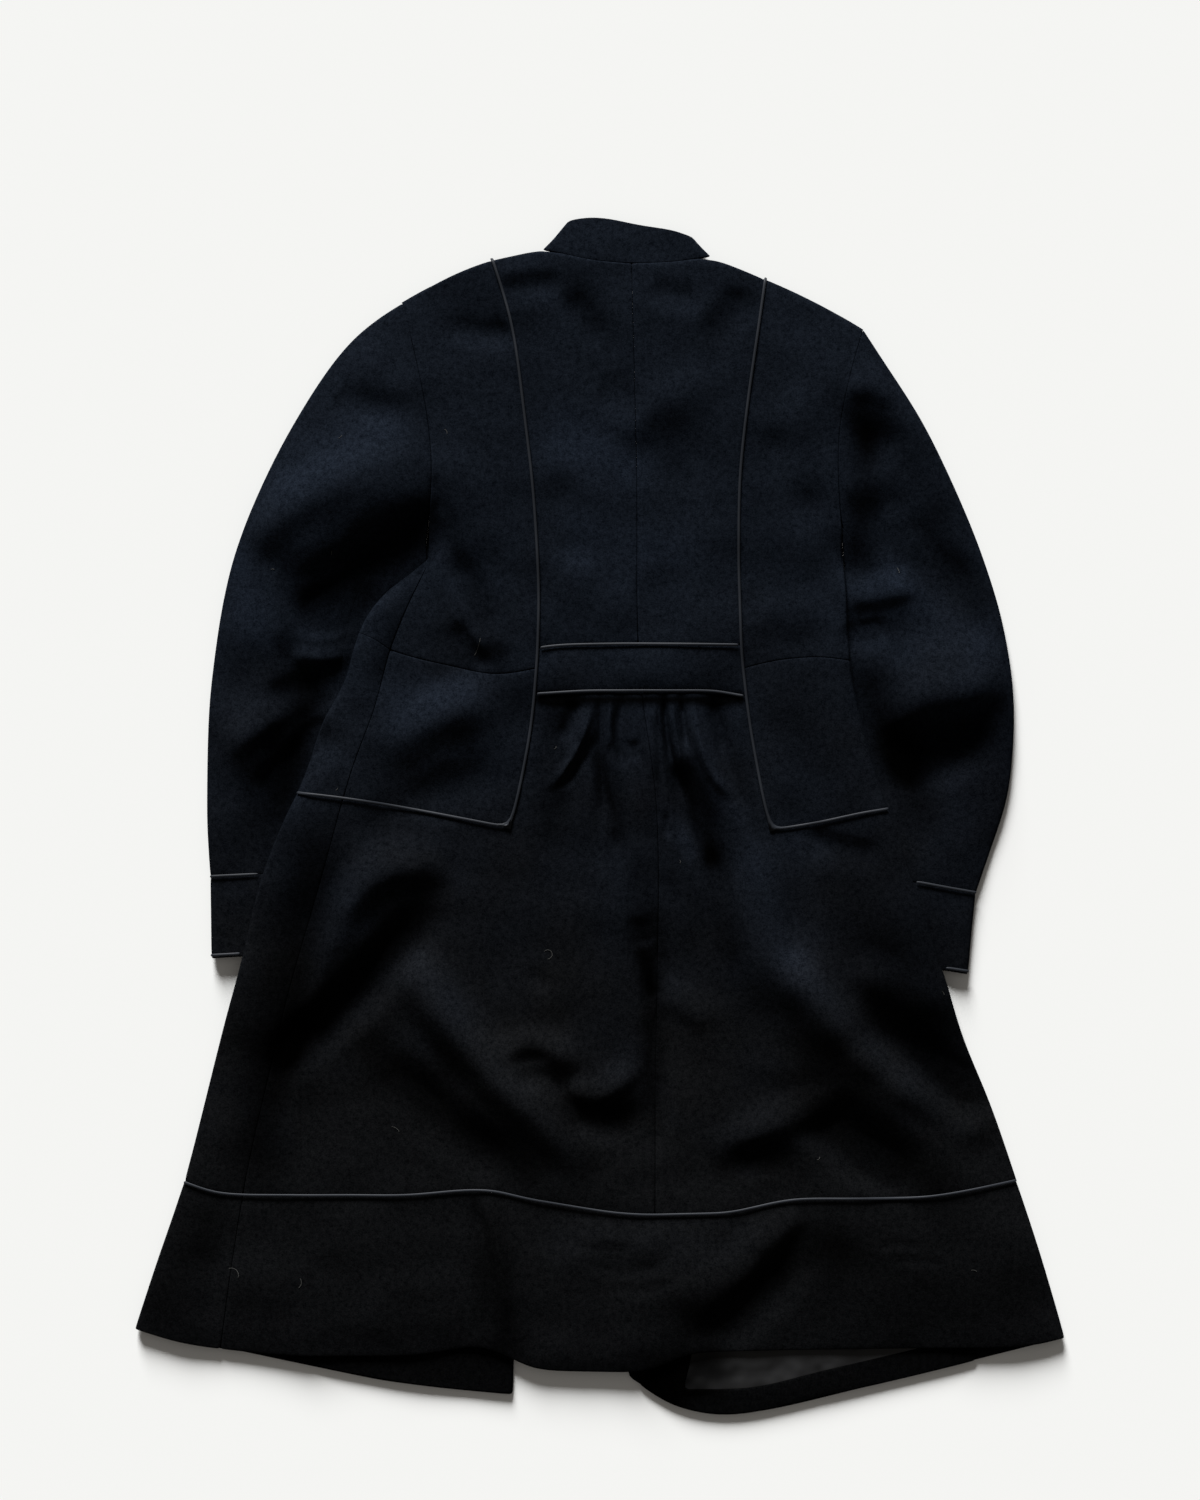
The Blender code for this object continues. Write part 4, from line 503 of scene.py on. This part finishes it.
def wool_material():
    """Thick felted wool, mottled; painted shade browns it towards the hem, and painted light and shade lie in
    patches.
    """
    material, tree, shader = new_material("felted_wool", WOOL)
    link = tree.links.new
    place = node(tree, "ShaderNodeTexCoord")
    nap_and_painted_light = node(tree, "ShaderNodeTexNoise", Scale=760.0, Detail=4.0, Roughness=0.8)
    mottle = node(tree, "ShaderNodeTexNoise", Scale=230.0, Detail=4.0, Roughness=0.7)
    cast = node(tree, "ShaderNodeTexNoise", Scale=9.0, Detail=2.0, Roughness=0.5)
    for texture in (nap_and_painted_light, mottle, cast):
        link(place.outputs["Object"], texture.inputs["Vector"])
    shade = node(tree, "ShaderNodeValToRGB")
    shade.color_ramp.elements[0].position = 0.38
    shade.color_ramp.elements[0].color = (0.0018, 0.0025, 0.0039, 1)
    shade.color_ramp.elements[1].position = 0.64
    shade.color_ramp.elements[1].color = (0.0096, 0.0125, 0.0181, 1)
    mixed = node(tree, "ShaderNodeMath", operation="MULTIPLY_ADD")
    mixed.inputs[1].default_value = 0.6
    link(nap_and_painted_light.outputs["Fac"], mixed.inputs[0])
    half = node(tree, "ShaderNodeMath", operation="MULTIPLY")
    half.inputs[1].default_value = 0.4
    link(mottle.outputs["Fac"], half.inputs[0])
    link(half.outputs[0], mixed.inputs[2])
    link(mixed.outputs[0], shade.inputs["Fac"])
    warm = node(tree, "ShaderNodeMix", data_type="RGBA", blend_type="MULTIPLY")
    warm.inputs["Factor"].default_value = 1.0
    # Painted shade: the colour turns darker and browner towards the hem, where less light falls, along object
    # Y with a little noise.
    along = node(tree, "ShaderNodeSeparateXYZ")
    link(place.outputs["Object"], along.inputs[0])
    wander = node(tree, "ShaderNodeMath", operation="MULTIPLY_ADD")
    wander.inputs[1].default_value = 0.5
    link(cast.outputs["Fac"], wander.inputs[0])
    link(along.outputs["Y"], wander.inputs[2])
    hem_painted_shade = node(tree, "ShaderNodeValToRGB")
    hem_painted_shade.color_ramp.elements[0].position = 0.0
    hem_painted_shade.color_ramp.elements[0].color = (0.80, 0.64, 0.48, 1)
    hem_painted_shade.color_ramp.elements[1].position = 0.45
    hem_painted_shade.color_ramp.elements[1].color = (1.0, 1.0, 1.0, 1)
    skirt = hem_painted_shade.color_ramp.elements.new(0.17)
    skirt.color = (0.79, 0.69, 0.60, 1)
    link(wander.outputs[0], hem_painted_shade.inputs["Fac"])
    link(shade.outputs["Color"], warm.inputs["A"])
    link(hem_painted_shade.outputs["Color"], warm.inputs["B"])
    # Painted light and shade: the patches' value multiplies the wool's colour, darker in painted shade and
    # lighter in painted highlights.
    painted_light_layer = node(tree, "ShaderNodeAttribute", attribute_name="nap_and_painted_light")
    painted_light_and_shade = node(tree, "ShaderNodeValToRGB")
    painted_light_and_shade.color_ramp.elements[0].position = 0.0
    painted_light_and_shade.color_ramp.elements[0].color = (1.90, 2.00, 2.15, 1)
    painted_light_and_shade.color_ramp.elements[1].position = 1.0
    painted_light_and_shade.color_ramp.elements[1].color = (0.12, 0.10, 0.08, 1)
    even = painted_light_and_shade.color_ramp.elements.new(0.5)
    even.color = (1.0, 1.0, 1.0, 1)
    final = node(tree, "ShaderNodeMix", data_type="RGBA", blend_type="MULTIPLY")
    final.inputs["Factor"].default_value = 1.0
    link(painted_light_layer.outputs["Fac"], painted_light_and_shade.inputs["Fac"])
    link(warm.outputs["Result"], final.inputs["A"])
    link(painted_light_and_shade.outputs["Color"], final.inputs["B"])
    link(final.outputs["Result"], shader.inputs["Base Color"])
    bump = node(tree, "ShaderNodeBump", Strength=0.5, Distance=0.0006)
    link(mixed.outputs[0], bump.inputs["Height"])
    link(bump.outputs["Normal"], shader.inputs["Normal"])
    return material


def satin_material(name, look, thread_scale, ripple):
    """Satin: fine threads, shallow ripples and a soft gloss; painted shade darkens it and takes the gloss
    where the value is high.
    """
    material, tree, shader = new_material(name, look)
    link = tree.links.new
    place = node(tree, "ShaderNodeTexCoord")
    thread = node(tree, "ShaderNodeTexNoise", Scale=thread_scale, Detail=2.0, Roughness=0.5)
    link(place.outputs["Object"], thread.inputs["Vector"])
    wave = node(tree, "ShaderNodeTexNoise", Scale=45.0, Detail=1.0, Roughness=0.4)
    link(place.outputs["Object"], wave.inputs["Vector"])
    swell = node(tree, "ShaderNodeBump", Strength=1.0, Distance=ripple)
    link(wave.outputs["Fac"], swell.inputs["Height"])
    bump = node(tree, "ShaderNodeBump", Strength=0.10, Distance=0.0003)
    link(swell.outputs["Normal"], bump.inputs["Normal"])
    link(thread.outputs["Fac"], bump.inputs["Height"])
    link(bump.outputs["Normal"], shader.inputs["Normal"])
    # Painted shade: above a half the satin darkens to near black and loses its gloss.
    painted_light_layer = node(tree, "ShaderNodeAttribute", attribute_name="nap_and_painted_light")
    painted_lining_shade = node(tree, "ShaderNodeValToRGB")
    painted_lining_shade.color_ramp.elements[0].position = 0.5
    painted_lining_shade.color_ramp.elements[0].color = (*look.colour, 1)
    painted_lining_shade.color_ramp.elements[1].position = 1.0
    painted_lining_shade.color_ramp.elements[1].color = (0.002, 0.002, 0.002, 1)
    link(painted_light_layer.outputs["Fac"], painted_lining_shade.inputs["Fac"])
    link(painted_lining_shade.outputs["Color"], shader.inputs["Base Color"])
    gloss = node(tree, "ShaderNodeMapRange", From_Min=0.5, From_Max=1.0, To_Min=look.specular, To_Max=0.0)
    link(painted_light_layer.outputs["Fac"], gloss.inputs["Value"])
    link(gloss.outputs["Result"], shader.inputs["Specular IOR Level"])
    return material


def make_cloth(wool, lining):
    """Every cloth piece in its finer shape."""
    for cut in CUTS:
        piece = refined(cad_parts[cut.node], cut.detail)
        draw_in(piece.data, cut.node)
        drape(piece.data)
        paint_light_and_shade(piece.data, cut.node)
        is_lining = cut.node.startswith("lining")
        dress(piece, lining if is_lining else wool, cut.node)


def make_piping(satin):
    """Every run of piping, smoothed and laid on the same creases as the cloth."""
    for name in sorted(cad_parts):
        if name.startswith("piping"):
            piece = refined(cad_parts[name], PIPING_DETAIL, is_cord=True)
            drape(piece.data)
            dress(piece, satin, name)


def make_lint():
    """Stray pale fibres that lie on the nap, each a bent thread of three sides."""
    scene = bpy.context.scene
    layers = bpy.context.evaluated_depsgraph_get()
    vertices, faces = [], []
    for lint in LINTS:
        heading = math.radians(lint.turn)
        x, y = lint.x, lint.y
        first = len(vertices)
        for step in range(LINT_STEPS + 1):
            found, surface, _, _, _, _ = scene.ray_cast(layers, (x * MM, y * MM, RAY_TOP), (0, 0, -1))
            if not found:
                surface = Vector((x * MM, y * MM, BARE_FLOOR))
            for k in range(3):
                angle = 2 * math.pi * k / 3 + math.pi / 6
                across = math.cos(angle) * LINT_WIDTH / 2
                vertices.append((surface.x - math.sin(heading) * across * MM,
                                 surface.y + math.cos(heading) * across * MM,
                                 surface.z + (LINT_RISE + math.sin(angle) * LINT_WIDTH / 2) * MM))
            x += math.cos(heading) * lint.length / LINT_STEPS
            y += math.sin(heading) * lint.length / LINT_STEPS
            heading += math.radians(lint.curl) / LINT_STEPS
        for step in range(LINT_STEPS):
            for k in range(3):
                start, beside = first + 3 * step + k, first + 3 * step + (k + 1) % 3
                faces.append((start, beside, beside + 3, start + 3))
    mesh = bpy.data.meshes.new("lint")
    mesh.from_pydata(vertices, [], faces)
    material, _, _ = new_material("pale_lint", LINT)
    mesh.materials.append(material)
    piece = bpy.data.objects.new("lint", mesh)
    scene.collection.objects.link(piece)
    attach(piece, "root")


def make_floor():
    """A plain pale floor, far wider than the view."""
    mesh = bpy.data.meshes.new("floor")
    corners = [(-FLOOR_REACH, -FLOOR_REACH, 0), (FLOOR_REACH, -FLOOR_REACH, 0),
               (FLOOR_REACH, FLOOR_REACH, 0), (-FLOOR_REACH, FLOOR_REACH, 0)]
    mesh.from_pydata(corners, [], [(0, 1, 2, 3)])
    floor = bpy.data.objects.new("floor", mesh)
    floor.location.z = -FLOOR_DROP
    bpy.context.scene.collection.objects.link(floor)
    material = bpy.data.materials.new("floor_paper")
    material.use_nodes = True
    shader = material.node_tree.nodes["Principled BSDF"]
    shader.inputs["Base Color"].default_value = (*FLOOR_COLOUR, 1)
    shader.inputs["Roughness"].default_value = 0.9
    shader.inputs["Specular IOR Level"].default_value = 0.1
    mesh.materials.append(material)


def make_light():
    """A soft window low beyond the collar, and a weak even sky."""
    data = bpy.data.lights.new("window", "SUN")
    data.energy = 8.3
    data.angle = math.radians(22)
    data.color = (0.99, 1.0, 1.01)
    light = bpy.data.objects.new("window", data)
    light.rotation_euler = Vector((0.18, -0.93, -0.325)).to_track_quat("-Z", "Y").to_euler()
    bpy.context.scene.collection.objects.link(light)
    world = bpy.data.worlds.new("sky")
    world.use_nodes = True
    background = world.node_tree.nodes["Background"]
    background.inputs["Color"].default_value = (1.0, 0.95, 0.89, 1)
    background.inputs["Strength"].default_value = 0.13
    bpy.context.scene.world = world


def make_camera():
    """Straight above, with the photograph's frame: 1.32 m of floor from top to bottom."""
    frame_height = 1.32
    frame_middle = 0.059
    lens = 85.0
    sensor = 36.0
    data = bpy.data.cameras.new("camera")
    data.sensor_fit = "AUTO"
    data.sensor_width = sensor
    data.lens = lens
    camera = bpy.data.objects.new("camera", data)
    camera.location = (0.0, frame_middle, frame_height * lens / sensor)
    bpy.context.scene.collection.objects.link(camera)
    bpy.context.scene.camera = camera


def main():
    scene = bpy.context.scene
    scene.view_settings.view_transform = "Standard"
    make_cloth(wool_material(), satin_material("lining_satin", LINING, 1400.0, 0.006))
    make_piping(satin_material("piping_satin", PIPING, 1600.0, 0.0))
    make_lint()
    make_floor()
    make_light()
    make_camera()


main()
